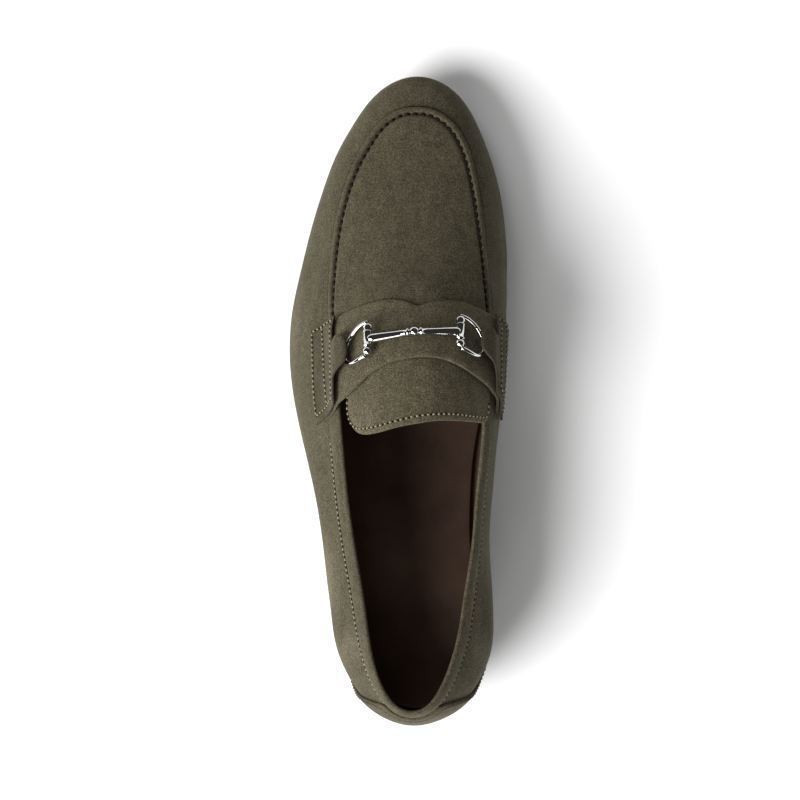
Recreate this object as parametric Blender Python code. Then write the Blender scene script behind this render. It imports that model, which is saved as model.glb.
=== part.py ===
# Bit loafer, left shoe, in suede with a hand-sewn apron and a metal bit.
# Metres. +Y runs from heel to toe, +X to the inner (medial) side, +Z up.
# The origin is on the floor at the middle of the heel's rest face.

import math

import bmesh
import bpy
import numpy as np
from mathutils import Vector
from mathutils.bvhtree import BVHTree
from mathutils.geometry import delaunay_2d_cdt

# Driving sizes
LENGTH = 0.300
BALL_WIDTH = 0.100
COLLAR_HEIGHT = 0.050
TOE_HEIGHT = 0.025
INSTEP_CROWN = 0.024
HEEL_HEIGHT = 0.022
TOE_SPRING = 0.008
OUTSOLE_THICKNESS = 0.0045
TOP_PIECE_THICKNESS = 0.006
HEEL_LENGTH = 0.070
HEEL_REST = 0.038
HEEL_TAPER = 0.002
UPPER_WALL = 0.0020
LASTING_MARGIN = 0.008
SOLE_EXTENSION = 0.0012
INSOLE_THICKNESS = 0.0025
INSOLE_INSET = 0.0013
TONGUE_THICKNESS = 0.0018
STRAP_THICKNESS = 0.0015
KEEPER_THICKNESS = 0.0013
COUNTER_THICKNESS = 0.0012
SEAM_WIDTH = 0.0036
SEAM_RAISE = 0.0011
ROLL_RAISE = 0.0004
RING_WIRE = 0.0018
BAR_END_RADIUS = 0.0022
BAR_MIDDLE_RADIUS = 0.0015
T_BAR_RADIUS = 0.0018
COLLAR_BALL_RADIUS = 0.0021
LINK_RADIUS = 0.0022
EDGE_ROUND = 0.0007
END_TRIM = 0.0002
FIT = 0.0003
LAY = 0.0004
COUNTER_LAY = 0.0006
BIT_LAY = 0.0007

# The sole's underside: where it is flat, where the arch ends and the seat begins
ARCH_FRONT = 0.60
SEAT_FRONT = 0.10
SPRING_START = 0.70

# One row for each section of the upper, from the heel to the toe.
# along and the top line's own place are shares of LENGTH, sideways places are
# shares of BALL_WIDTH, rises are shares of the upper's local height above the
# sole, crown is a share of INSTEP_CROWN, lean is the rise for each unit inward.
SECTION_COLUMNS = (
    "along", "lateral", "medial", "top_along", "top_lateral", "top_medial",
    "rise_lateral", "rise_medial", "lean_lateral", "lean_medial",
    "bulge", "tuck_lateral", "tuck_medial", "crown",
)
SECTIONS = (
    (0.012, 0.002, 0.002, 0.034, 0.004, 0.004, 1.00, 1.00, 6.0, 6.0, 0.34, 0.030, 0.030, 1.50),
    (0.021, -.116, 0.121, 0.041, -.068, 0.072, 1.00, 1.00, 6.0, 6.0, 0.34, 0.030, 0.030, 1.50),
    (0.040, -.206, 0.216, 0.059, -.120, 0.122, 0.98, 0.99, 5.0, 5.0, 0.34, 0.030, 0.030, 1.50),
    (0.072, -.283, 0.293, 0.091, -.168, 0.170, 0.95, 0.97, 4.0, 4.5, 0.34, 0.030, 0.032, 1.50),
    (0.120, -.350, 0.352, 0.140, -.204, 0.216, 0.90, 0.93, 3.2, 4.0, 0.34, 0.032, 0.038, 1.50),
    (0.190, -.388, 0.362, 0.205, -.234, 0.249, 0.87, 0.91, 2.8, 4.0, 0.36, 0.038, 0.055, 1.50),
    (0.270, -.418, 0.348, 0.280, -.274, 0.283, 0.88, 0.93, 2.6, 4.0, 0.38, 0.048, 0.078, 1.50),
    (0.350, -.457, 0.357, 0.355, -.308, 0.302, 0.94, 1.00, 2.4, 3.6, 0.40, 0.056, 0.090, 1.50),
    (0.430, -.514, 0.376, 0.430, -.328, 0.326, 1.18, 1.25, 2.0, 3.0, 0.42, 0.058, 0.088, 1.32),
    (0.500, -.563, 0.400, 0.500, -.343, 0.336, 1.58, 1.67, 1.6, 2.4, 0.44, 0.052, 0.070, 1.02),
    (0.570, -.588, 0.413, 0.570, -.359, 0.340, 1.85, 2.00, 1.4, 1.9, 0.47, 0.040, 0.048, 0.90),
    (0.640, -.577, 0.422, 0.640, -.366, 0.332, 1.84, 2.02, 1.1, 1.3, 0.46, 0.032, 0.034, 0.76),
    (0.710, -.532, 0.424, 0.705, -.358, 0.314, 1.66, 1.82, 0.85, 0.95, 0.43, 0.030, 0.030, 0.52),
    (0.775, -.482, 0.410, 0.765, -.336, 0.292, 1.49, 1.62, 0.66, 0.70, 0.40, 0.030, 0.030, 0.34),
    (0.830, -.430, 0.384, 0.815, -.301, 0.268, 1.34, 1.44, 0.56, 0.58, 0.38, 0.030, 0.030, 0.25),
    (0.880, -.372, 0.340, 0.858, -.253, 0.240, 1.22, 1.29, 0.50, 0.52, 0.36, 0.030, 0.030, 0.18),
    (0.925, -.296, 0.286, 0.893, -.195, 0.202, 1.12, 1.16, 0.46, 0.48, 0.35, 0.030, 0.030, 0.12),
    (0.960, -.222, 0.226, 0.918, -.140, 0.150, 1.05, 1.07, 0.44, 0.45, 0.34, 0.030, 0.030, 0.06),
    (0.985, -.138, 0.148, 0.933, -.075, 0.086, 1.00, 1.01, 0.43, 0.43, 0.34, 0.030, 0.030, 0.02),
    (1.000, 0.006, 0.006, 0.938, 0.004, 0.004, 0.98, 0.98, 0.43, 0.43, 0.34, 0.030, 0.030, 0.00),
)
LAST_ROW = len(SECTIONS) - 1
THROAT_ROW = 10.5
COVER_ROW = 6.0
CROWN_POWER = 2.25
GIRTH_START = 0.40
GIRTH_END = 0.70
GIRTH_SECTIONS = 61
GIRTH_SWEEP = 104
GIRTH_AXIS = 0.60
STEPS_PER_ROW = 2
APRON_COLUMNS = 12

# Outlines of the pieces laid over the upper: the distance round the girth from
# the long axis, as a share of BALL_WIDTH (negative lateral), and a share of LENGTH
STRAP_FRONT = (
    (-.580, 0.604), (-.372, 0.624), (-.299, 0.633), (-.217, 0.641), (-.146, 0.646), (-.092, 0.648),
    (-.034, 0.646), (0.001, 0.641), (0.029, 0.638), (0.057, 0.641), (0.086, 0.644), (0.144, 0.647),
    (0.205, 0.646), (0.274, 0.641), (0.376, 0.630), (0.398, 0.627), (0.535, 0.612),
)
STRAP_REAR = (
    (0.580, 0.470), (0.495, 0.492), (0.408, 0.511), (0.368, 0.520), (0.299, 0.531), (0.228, 0.543),
    (0.155, 0.553), (0.101, 0.557), (0.049, 0.558), (-.014, 0.556), (-.078, 0.551), (-.127, 0.543),
    (-.174, 0.533), (-.213, 0.523), (-.257, 0.513), (-.299, 0.505), (-.352, 0.497), (-.606, 0.463),
)
TONGUE_OUTLINE = (
    (-.306, 0.585), (-.318, 0.530), (-.334, 0.500), (-.337, 0.483), (-.318, 0.464), (-.271, 0.452),
    (-.208, 0.449), (-.127, 0.453), (-.045, 0.460), (0.037, 0.465), (0.119, 0.469), (0.217, 0.469),
    (0.347, 0.467), (0.408, 0.466), (0.432, 0.473), (0.436, 0.487), (0.402, 0.530), (0.352, 0.585),
)
KEEPER_LATERAL = (
    (-.580, 0.604), (-.372, 0.624), (-.366, 0.580), (-.320, 0.588), (-.283, 0.587), (-.262, 0.576),
    (-.255, 0.562), (-.262, 0.550), (-.343, 0.530), (-.352, 0.497), (-.606, 0.463),
)
KEEPER_MEDIAL = (
    (0.535, 0.612), (0.398, 0.627), (0.382, 0.588), (0.340, 0.598), (0.304, 0.596), (0.286, 0.583),
    (0.288, 0.568), (0.312, 0.559), (0.360, 0.547), (0.394, 0.532), (0.410, 0.511), (0.495, 0.492),
    (0.580, 0.470),
)

# The heel counter: how many rows it reaches round each side, where its upper
# edge starts to fall, and its levels up the wall, from its lower edge to its
# front corner and its highest point
COUNTER_ROWS = 3.5
COUNTER_FALL = 1.5
COUNTER_LOW = 0.25
COUNTER_TIP = 0.45
COUNTER_HIGH = 1.76
COUNTER_STEPS = 10
COUNTER_STEPS_PER_ROW = 4

# Where the strap comes down from the tongue on to the upper, the apron's seam
# grows and the collar's roll ends, each from one share to another
COVER_FRONT = (0.596, 0.636)
COVER_LATERAL = (-.490, -.350)
COVER_MEDIAL = (0.445, 0.555)
SEAM_GROWS = (0.655, 0.70)
ROLL_ENDS = (0.42, 0.47)

# Spacing of the points on the laid pieces
LAID_SPACING = 0.0050
KEEPER_SPACING = 0.0045

# Places of the bit, in the same two shares, and its own sizes
BIT_CENTRE = (0.017, 0.588)
T_BAR_LATERAL = (-.167, 0.579)
T_BAR_MEDIAL = (0.194, 0.590)
T_BAR_HALF = 0.0060
RING_LATERAL = -.288
RING_MEDIAL = 0.318
RING_HALF = 0.0074
RING_DROOP = 0.0055
RING_CLEARANCE = 0.0008
TUNNEL_HALF = 0.0020
TUNNEL_RAMP = 0.0095
RING_STEPS = 18
BAR_LIFT_MARGIN = 1.15

SUEDE = (0.128, 0.118, 0.082)
SUEDE_ROUGHNESS = 0.92
LINING = (0.070, 0.040, 0.030)
SOLE_LEATHER = (0.170, 0.095, 0.050)
RUBBER = (0.020, 0.019, 0.018)
SILVER = (0.780, 0.780, 0.770)


# Small helpers

def smooth_step(value, start, end):
    share = np.clip((value - start) / (end - start), 0.0, 1.0)
    return share * share * (3.0 - 2.0 * share)


def material(name, colour, roughness, metallic=0.0):
    made = bpy.data.materials.new(name)
    made.use_nodes = True
    shader = made.node_tree.nodes["Principled BSDF"]
    shader.inputs["Base Color"].default_value = (*colour, 1.0)
    shader.inputs["Roughness"].default_value = roughness
    shader.inputs["Metallic"].default_value = metallic
    return made


def add_object(name, points, faces, finish):
    mesh = bpy.data.meshes.new(name)
    mesh.from_pydata([tuple(point) for point in points], [], faces)
    mesh.update()
    work = bmesh.new()
    work.from_mesh(mesh)
    bmesh.ops.recalc_face_normals(work, faces=work.faces[:])
    if work.calc_volume(signed=True) < 0.0:
        bmesh.ops.reverse_faces(work, faces=work.faces[:])
    work.to_mesh(mesh)
    work.free()
    mesh.shade_smooth()
    mesh.set_sharp_from_angle(angle=math.radians(40))
    made = bpy.data.objects.new(name, mesh)
    made.data.materials.append(material(name, *finish))
    bpy.context.scene.collection.objects.link(made)
    return made


# The sole's curve: heel seat, arch, flat tread and toe spring

def underside(along):
    arch = np.clip((ARCH_FRONT - along) / (ARCH_FRONT - SEAT_FRONT), 0.0, 1.0)
    rise = HEEL_HEIGHT * (0.5 - 0.5 * np.cos(math.pi * arch))
    spring = np.clip((along - SPRING_START) / (1.0 - SPRING_START), 0.0, None)
    return rise + TOE_SPRING * spring ** 2


def feather_height(along):
    return underside(along) + OUTSOLE_THICKNESS + FIT


def local_height(along):
    front = smooth_step(along, 0.35, 0.65)
    return COLLAR_HEIGHT * (1.0 - front) + TOE_HEIGHT * front


# The last: closed splines through the section rows, around heel and toe

class Last:
    def __init__(self):
        rows = {name: np.array([row[place] for row in SECTIONS])
                for place, name in enumerate(SECTION_COLUMNS)}
        self.columns = {}
        for name in ("along", "top_along", "bulge", "crown"):
            self.columns[name] = np.concatenate([rows[name], rows[name][-2:0:-1]])
        for name in ("", "top_", "rise_", "lean_", "tuck_"):
            outer = rows[name + "lateral"]
            inner = rows[name + "medial"]
            label = name + "side"
            self.columns[label] = np.concatenate([outer, inner[-2:0:-1]])
        x = self.columns["side"] * BALL_WIDTH
        y = self.columns["along"] * LENGTH
        chords = np.hypot(np.diff(np.append(x, x[0])), np.diff(np.append(y, y[0])))
        self.knots = np.concatenate([[0.0], np.cumsum(chords)])
        self.slopes = {name: self.tangents(values) for name, values in self.columns.items()}

    def tangents(self, values):
        count = len(values)
        widths = np.diff(self.knots)
        system = np.zeros((count, count))
        target = np.zeros(count)
        for place in range(count):
            before = widths[place - 1]
            after = widths[place]
            system[place, place - 1] = after
            system[place, place] = 2.0 * (before + after)
            system[place, (place + 1) % count] = before
            rise_after = (values[(place + 1) % count] - values[place]) / after
            rise_before = (values[place] - values[place - 1]) / before
            target[place] = 3.0 * (after * rise_before + before * rise_after)
        return np.linalg.solve(system, target)

    def knot_of(self, row, side):
        places = np.arange(LAST_ROW + 1)
        if side < 0:
            return np.interp(row, places, self.knots[:LAST_ROW + 1])
        back = self.knots[LAST_ROW:][::-1]
        return np.interp(row, places, back)

    def read(self, name, knots):
        knots = np.mod(knots, self.knots[-1])
        place = np.clip(np.searchsorted(self.knots, knots, side="right") - 1, 0, len(self.knots) - 2)
        width = self.knots[place + 1] - self.knots[place]
        share = (knots - self.knots[place]) / width
        values = self.columns[name]
        slopes = self.slopes[name]
        after = (place + 1) % len(values)
        square = share * share
        cube = square * share
        return ((2 * cube - 3 * square + 1) * values[place] + (cube - 2 * square + share) * width * slopes[place]
                + (3 * square - 2 * cube) * values[after] + (cube - square) * width * slopes[after])

    def rings(self, knots):
        step = 0.0005
        x = self.read("side", knots) * BALL_WIDTH
        y = self.read("along", knots) * LENGTH
        run_x = (self.read("side", knots + step) - self.read("side", knots - step)) * BALL_WIDTH
        run_y = (self.read("along", knots + step) - self.read("along", knots - step)) * LENGTH
        size = np.hypot(run_x, run_y)
        outward = np.stack([-run_y / size, run_x / size], axis=-1)
        along = y / LENGTH
        seat = feather_height(along)
        bulge_z = seat + self.read("bulge", knots) * local_height(along)
        tuck = self.read("tuck_side", knots) * BALL_WIDTH
        top_along = self.read("top_along", knots)
        top_z = feather_height(top_along) + self.read("rise_side", knots) * local_height(top_along)
        top = np.stack([self.read("top_side", knots) * BALL_WIDTH, top_along * LENGTH, top_z], axis=-1)
        return {
            "bulge": np.stack([x, y, bulge_z], axis=-1), "outward": outward, "tuck": tuck,
            "seat": seat, "top": top, "lean": self.read("lean_side", knots),
            "crown": self.read("crown", knots) * INSTEP_CROWN,
        }


LAST = Last()


def side_profile(ring, level):
    # level -1 is the edge of the lasting margin, 0 the feather line, 1 the widest
    # line, 2 the top line; between 1 and 2 the wall is one curve
    flat = np.concatenate([ring["outward"], np.zeros((len(ring["seat"]), 1))], axis=1)
    if level <= 0.0:
        point = ring["bulge"] - flat * (ring["tuck"] - LASTING_MARGIN * level)[:, None]
        point[:, 2] = feather_height(point[:, 1] / LENGTH)
        return point
    if level <= 1.0:
        angle = level * math.pi / 2
        point = ring["bulge"] - flat * (ring["tuck"] * (1.0 - math.sin(angle)))[:, None]
        seat = feather_height(point[:, 1] / LENGTH)
        point[:, 2] = seat + (ring["bulge"][:, 2] - seat) * (1.0 - math.cos(angle))
        return point
    return wall_curve(ring, np.full(len(ring["seat"]), level - 1.0))


def wall_curve(ring, share):
    # from the widest line at share 0 to the top line at share 1
    share = share[:, None]
    start = ring["bulge"]
    end = ring["top"]
    reach = np.linalg.norm(end - start, axis=1)
    tangent = np.concatenate([-ring["outward"], ring["lean"][:, None]], axis=1)
    tangent /= np.linalg.norm(tangent, axis=1)[:, None]
    first = start + np.array([0.0, 0.0, 1.0]) * (0.42 * (end[:, 2] - start[:, 2]))[:, None]
    second = end - tangent * (0.36 * reach)[:, None]
    rest = 1.0 - share
    return (rest ** 3 * start + 3 * rest ** 2 * share * first
            + 3 * rest * share ** 2 * second + share ** 3 * end)


def wall_length(ring):
    return np.linalg.norm(ring["top"] - ring["bulge"], axis=1)


# The upper's sheet: side wall all round, and the apron between its top lines

def ring_knots(steps):
    rows = np.arange(LAST_ROW * steps + 1) / steps
    lateral = LAST.knot_of(rows, -1)
    medial = LAST.knot_of(rows[1:-1], 1)[::-1]
    return np.concatenate([lateral, medial])


def upper_sheet(steps, columns, first_row, levels):
    # levels is a list of plain levels; a negative pair marks a distance below the top line
    knots = ring_knots(steps)
    ring = LAST.rings(knots)
    length = wall_length(ring)
    layers = []
    depth = []
    for kind, value in levels:
        if kind == "level":
            layers.append(side_profile(ring, value))
            depth.append(np.full(len(knots), 1.0))
        else:
            layers.append(wall_curve(ring, 1.0 - value / length))
            depth.append(np.full(len(knots), value))
    count = len(knots)
    half = LAST_ROW * steps
    points = [point for layer in layers for point in layer]
    depths = [value for layer in depth for value in layer]
    faces = []
    for layer in range(len(layers) - 1):
        for place in range(count):
            after = (place + 1) % count
            faces.append((layer * count + place, layer * count + after,
                          (layer + 1) * count + after, (layer + 1) * count + place))
    top = (len(layers) - 1) * count
    first = int(round(first_row * steps))
    rows = []
    for step in range(first, half):
        lateral = top + step
        medial = top + count - step
        a = points[lateral]
        b = points[medial]
        crown = ring["crown"][step]
        row = [lateral]
        for column in range(1, columns):
            share = column / columns
            point = a + (b - a) * share
            point[2] += crown * (1.0 - abs(2.0 * share - 1.0) ** CROWN_POWER)
            row.append(len(points))
            points.append(point)
            depths.append(1.0)
        row.append(medial)
        rows.append(row)
    for before, after in zip(rows, rows[1:]):
        for column in range(columns):
            faces.append((before[column], after[column], after[column + 1], before[column + 1]))
    tip = top + half
    for column in range(columns):
        faces.append((rows[-1][column], tip, rows[-1][column + 1]))
    collar = [top + step for step in range(0, first + 1)]
    medial_collar = [top + count - step for step in range(first, 0, -1)]
    rim = collar + rows[0][1:-1] + medial_collar
    return {"points": np.array(points), "faces": faces, "rim": rim, "foot": list(range(count)),
            "depths": np.array(depths), "count": count, "half": half, "rows": rows,
            "top": top, "first": first}


def sheet_normals(sheet):
    work = bmesh.new()
    vertices = [work.verts.new(point) for point in sheet["points"]]
    for face in sheet["faces"]:
        work.faces.new([vertices[place] for place in face])
    bmesh.ops.recalc_face_normals(work, faces=work.faces[:])
    work.normal_update()
    normals = np.array([vertex.normal[:] for vertex in vertices])
    work.free()
    # the toe's outer side faces forward
    toe = sheet["half"] + sheet["count"] * 3
    if normals[toe][1] < 0.0:
        normals = -normals
    return normals


WALL_LEVELS = [("level", -1.0), ("level", 0.0), ("level", 0.38), ("level", 0.70), ("level", 1.0),
               ("level", 1.25), ("level", 1.50), ("level", 1.72),
               ("below", SEAM_WIDTH), ("below", 0.66 * SEAM_WIDTH), ("below", 0.33 * SEAM_WIDTH),
               ("level", 2.0)]


def seam_bump(sheet):
    # a raised seam round the apron that dies away under the strap, and a soft
    # roll along the collar
    share = sheet["depths"] / SEAM_WIDTH
    hump = np.where(share < 1.01, np.sin(math.pi * np.clip(share, 0.0, 1.0)), 0.0)
    along = sheet["points"][:, 1] / LENGTH
    front = smooth_step(along, *SEAM_GROWS)
    collar = 1.0 - smooth_step(along, *ROLL_ENDS)
    return hump * (SEAM_RAISE * front + ROLL_RAISE * collar)


def build_upper():
    sheet = upper_sheet(STEPS_PER_ROW, APRON_COLUMNS, THROAT_ROW, WALL_LEVELS)
    normals = sheet_normals(sheet)
    base = sheet["points"]
    outer = base + normals * seam_bump(sheet)[:, None]
    inner = base - normals * UPPER_WALL
    # the lasting margin and the feather line stay level on the sole
    count = sheet["count"]
    inner[:count] = base[:count]
    inner[:count, 2] = base[:count, 2] + UPPER_WALL
    shift = len(base)
    points = list(outer) + list(inner)
    faces = [tuple(face) for face in sheet["faces"]]
    faces += [tuple(place + shift for place in reversed(face)) for face in sheet["faces"]]
    rim = sheet["rim"]
    middle = {}
    for place in rim:
        edge = (outer[place] + inner[place]) / 2
        if place >= sheet["top"] + count or base[place][1] > LENGTH * 0.58:
            direction = np.array([0.0, -1.0, 0.0])
        else:
            below = base[place - count]
            direction = (base[place] - below) / np.linalg.norm(base[place] - below)
        middle[place] = len(points)
        points.append(edge + direction * (0.35 * UPPER_WALL))
    for place, after in zip(rim, rim[1:] + rim[:1]):
        faces.append((place, after, middle[after], middle[place]))
        faces.append((middle[place], middle[after], after + shift, place + shift))
    foot = sheet["foot"]
    for place, after in zip(foot, foot[1:] + foot[:1]):
        faces.append((place, after, after + shift, place + shift))
    return add_object("upper", points, faces, (SUEDE, SUEDE_ROUGHNESS))


# The skin over the whole shoe, which pieces laid on the upper follow

class Skin:
    def __init__(self):
        levels = [("level", 0.1), ("level", 0.4), ("level", 0.8)]
        levels += [("level", 1.0 + step * 0.1) for step in range(11)]
        sheet = upper_sheet(4, 32, COVER_ROW, levels)
        self.normals = sheet_normals(sheet)
        self.points = sheet["points"]
        self.triangles = []
        for face in sheet["faces"]:
            for corner in range(1, len(face) - 1):
                self.triangles.append((face[0], face[corner], face[corner + 1]))
        self.tree = BVHTree.FromPolygons([tuple(point) for point in self.points], self.triangles)
        self.measure_sections()

    def hit(self, origin, direction):
        hit, _, index, _ = self.tree.ray_cast(Vector(origin), Vector(direction))
        a, b, c = (self.points[corner] for corner in self.triangles[index])
        hit = np.array(hit)
        area = np.linalg.norm(np.cross(b - a, c - a))
        shares = (np.linalg.norm(np.cross(b - hit, c - hit)) / area,
                  np.linalg.norm(np.cross(c - hit, a - hit)) / area,
                  np.linalg.norm(np.cross(a - hit, b - hit)) / area)
        corners = self.triangles[index]
        normal = sum(share * self.normals[corner] for share, corner in zip(shares, corners))
        return hit, normal / np.linalg.norm(normal)

    def measure_sections(self):
        # sections across the shoe, each measured round its girth from the long axis
        self.stations = np.linspace(GIRTH_START, GIRTH_END, GIRTH_SECTIONS) * LENGTH
        self.sections = []
        axis_height = GIRTH_AXIS * COLLAR_HEIGHT
        angles = np.radians(np.linspace(-GIRTH_SWEEP, GIRTH_SWEEP, 2 * GIRTH_SWEEP + 1))
        for station in self.stations:
            spots = []
            for angle in angles:
                direction = (math.sin(angle), 0.0, math.cos(angle))
                spots.append(self.hit((0.0, station, axis_height), direction))
            points = np.array([spot[0] for spot in spots])
            normals = np.array([spot[1] for spot in spots])
            girth = np.concatenate([[0.0], np.cumsum(np.linalg.norm(np.diff(points, axis=0), axis=1))])
            girth -= girth[GIRTH_SWEEP]
            self.sections.append((girth, np.concatenate([points, normals], axis=1)))

    def at(self, girth, y):
        place = (y - self.stations[0]) / (self.stations[1] - self.stations[0])
        before = int(np.clip(math.floor(place), 0, len(self.stations) - 2))
        share = place - before
        found = []
        for section in (before, before + 1):
            places, values = self.sections[section]
            found.append(np.array([np.interp(girth, places, values[:, column]) for column in range(6)]))
        blended = found[0] * (1.0 - share) + found[1] * share
        normal = blended[3:]
        return blended[:3], normal / np.linalg.norm(normal)


SKIN = Skin()


def plan(place):
    return place[0] * BALL_WIDTH, place[1] * LENGTH


def closed_outline(corners, spacing):
    # each stretch of the outline is cut into even steps
    points = []
    for start, end in zip(corners, corners[1:] + corners[:1]):
        reach = math.dist(start, end)
        steps = max(1, round(reach / spacing))
        for step in range(steps):
            share = step / steps
            points.append((start[0] + (end[0] - start[0]) * share, start[1] + (end[1] - start[1]) * share))
    return points


def fill_outline(outline, spacing):
    xs = [point[0] for point in outline]
    ys = [point[1] for point in outline]
    inside = []
    clear = 0.45 * spacing
    x = min(xs) + spacing / 2
    while x < max(xs):
        y = min(ys) + spacing / 2
        while y < max(ys):
            if point_inside((x, y), outline) and edge_distance((x, y), outline) > clear:
                inside.append((x, y))
            y += spacing
        x += spacing
    count = len(outline)
    edges = [(place, (place + 1) % count) for place in range(count)]
    spots = [Vector(point) for point in outline + inside]
    made = delaunay_2d_cdt(spots, edges, [], 1, 1e-7)
    return [tuple(point) for point in made[0]], [tuple(face) for face in made[2]]


def point_inside(point, outline):
    inside = False
    for start, end in zip(outline, outline[1:] + outline[:1]):
        if (start[1] > point[1]) != (end[1] > point[1]):
            cross = start[0] + (point[1] - start[1]) / (end[1] - start[1]) * (end[0] - start[0])
            if point[0] < cross:
                inside = not inside
    return inside


def edge_distance(point, outline):
    nearest = 1.0
    for start, end in zip(outline, outline[1:] + outline[:1]):
        run = (end[0] - start[0], end[1] - start[1])
        length = run[0] ** 2 + run[1] ** 2
        share = ((point[0] - start[0]) * run[0] + (point[1] - start[1]) * run[1]) / length
        share = min(1.0, max(0.0, share))
        gap = math.hypot(point[0] - start[0] - run[0] * share, point[1] - start[1] - run[1] * share)
        nearest = min(nearest, gap)
    return nearest


def laid_piece(name, outline, spacing, lay, low, high, finish):
    # a sheet that follows a surface, between two heights above it
    spots, triangles = fill_outline(closed_outline(outline, spacing), spacing)
    points = []
    for height in (low, high):
        for spot in spots:
            ground, normal = lay(*spot)
            points.append(ground + normal * height(*spot))
    shift = len(spots)
    faces = [tuple(reversed(triangle)) for triangle in triangles]
    faces += [tuple(place + shift for place in triangle) for triangle in triangles]
    directed = set()
    for triangle in triangles:
        for start, end in zip(triangle, triangle[1:] + triangle[:1]):
            directed.add((start, end))
    for start, end in sorted(directed):
        if (end, start) not in directed:
            faces.append((start, end, end + shift, start + shift))
    return add_object(name, points, faces, finish)


# Heights of the layers over the upper's skin

def tongue_low(girth, y):
    return LAY


def tongue_high(girth, y):
    return LAY + TONGUE_THICKNESS


def tongue_cover(girth, y):
    # 1 where the tongue lies under the strap, 0 clear of it
    rear = 1.0 - smooth_step(y / LENGTH, *COVER_FRONT)
    left = smooth_step(girth / BALL_WIDTH, *COVER_LATERAL)
    right = 1.0 - smooth_step(girth / BALL_WIDTH, *COVER_MEDIAL)
    return rear * left * right


def strap_low(girth, y):
    return LAY + tongue_cover(girth, y) * (TONGUE_THICKNESS + 2.0 * LAY)


def strap_high(girth, y):
    return strap_low(girth, y) + STRAP_THICKNESS


def tunnel(girth):
    # 1 from the ring's outer arc to the end of the keeper's fold round the ring
    ring = abs(RING_LATERAL if girth < 0.0 else RING_MEDIAL) * BALL_WIDTH
    return float(1.0 - smooth_step(abs(girth) - ring - TUNNEL_HALF, 0.0, TUNNEL_RAMP))


def keeper_low(girth, y):
    return strap_high(girth, y) + LAY + tunnel(girth) * (BIT_LAY + RING_WIRE + RING_CLEARANCE)


def keeper_high(girth, y):
    return keeper_low(girth, y) + KEEPER_THICKNESS


def build_laid_pieces():
    suede = (SUEDE, SUEDE_ROUGHNESS)
    tongue = [plan(place) for place in TONGUE_OUTLINE]
    laid_piece("tongue", tongue, LAID_SPACING, SKIN.at, tongue_low, tongue_high, suede)
    strap = [plan(place) for place in STRAP_FRONT + STRAP_REAR]
    laid_piece("saddle_strap", strap, LAID_SPACING, SKIN.at, strap_low, strap_high, suede)
    for name, outline in (("keeper_lateral", KEEPER_LATERAL), ("keeper_medial", KEEPER_MEDIAL)):
        keeper = [plan(place) for place in outline]
        laid_piece(name, keeper, KEEPER_SPACING, SKIN.at, keeper_low, keeper_high, suede)


# The heel counter, laid on the back of the wall

def wall_point(row, level):
    side = -1 if row < 0 else 1
    knot = np.array([LAST.knot_of(abs(row), side)])
    return side_profile(LAST.rings(knot), level)[0]


def wall_at(row, level):
    # row is a place round the heel, 0 at the back and negative on the lateral side
    step = 0.02
    point = wall_point(row, level)
    round_run = wall_point(row + step, level) - wall_point(row - step, level)
    up_run = wall_point(row, level + step) - wall_point(row, level - step)
    normal = np.cross(round_run, up_run)
    return point, normal / np.linalg.norm(normal)


def counter_top(row):
    # the upper edge falls from the collar at the back to a low front corner
    fall = smooth_step(abs(row), COUNTER_FALL, COUNTER_ROWS)
    return COUNTER_HIGH + (COUNTER_TIP - COUNTER_HIGH) * fall


def build_counter():
    columns = int(2 * COUNTER_ROWS * COUNTER_STEPS_PER_ROW)
    places = [-COUNTER_ROWS + step / COUNTER_STEPS_PER_ROW for step in range(columns + 1)]
    grid = []
    for place in places:
        for rise in range(COUNTER_STEPS + 1):
            share = rise / COUNTER_STEPS
            grid.append((place, COUNTER_LOW + (counter_top(place) - COUNTER_LOW) * share))
    points = []
    for height in (COUNTER_LAY, COUNTER_LAY + COUNTER_THICKNESS):
        for place, level in grid:
            ground, normal = wall_at(place, level)
            points.append(ground + normal * height)
    shift = len(grid)
    across = COUNTER_STEPS + 1
    faces = []
    for step in range(columns):
        for rise in range(COUNTER_STEPS):
            corner = step * across + rise
            face = (corner, corner + across, corner + across + 1, corner + 1)
            faces.append(tuple(reversed(face)))
            faces.append(tuple(place + shift for place in face))
    loop = [step * across for step in range(columns + 1)]
    loop += [columns * across + rise for rise in range(1, across)]
    loop += [step * across + COUNTER_STEPS for step in range(columns - 1, -1, -1)]
    loop += [rise for rise in range(COUNTER_STEPS - 1, 0, -1)]
    for start, end in zip(loop, loop[1:] + loop[:1]):
        faces.append((start, end, end + shift, start + shift))
    add_object("heel_counter", points, faces, (SUEDE, SUEDE_ROUGHNESS))


# Sole pieces are lofts of sections across the shoe

def side_edges(grow):
    # the feather line's two sides, moved outward by grow, as places against y
    knots = ring_knots(8)
    ring = LAST.rings(knots)
    flat = ring["outward"]
    outline = ring["bulge"][:, :2] - flat * (ring["tuck"] - grow)[:, None]
    half = LAST_ROW * 8
    lateral = outline[:half + 1]
    medial = np.concatenate([outline[half:], outline[:1]])[::-1]
    return lateral, medial


def edge_places(edges, y):
    found = []
    for side in edges:
        order = np.argsort(side[:, 1], kind="stable")
        found.append(float(np.interp(y, side[order, 1], side[order, 0])))
    return found


def stations(start, end, marks, count):
    shares = [(1.0 - math.cos(math.pi * step / count)) / 2 for step in range(count + 1)]
    places = [start + (end - start) * share for share in shares]
    gap = 0.35 * (end - start) / count
    inner = [place for place in places[1:-1] if all(abs(place - mark) > gap for mark in marks)]
    return sorted([start, end] + inner + list(marks))


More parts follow.
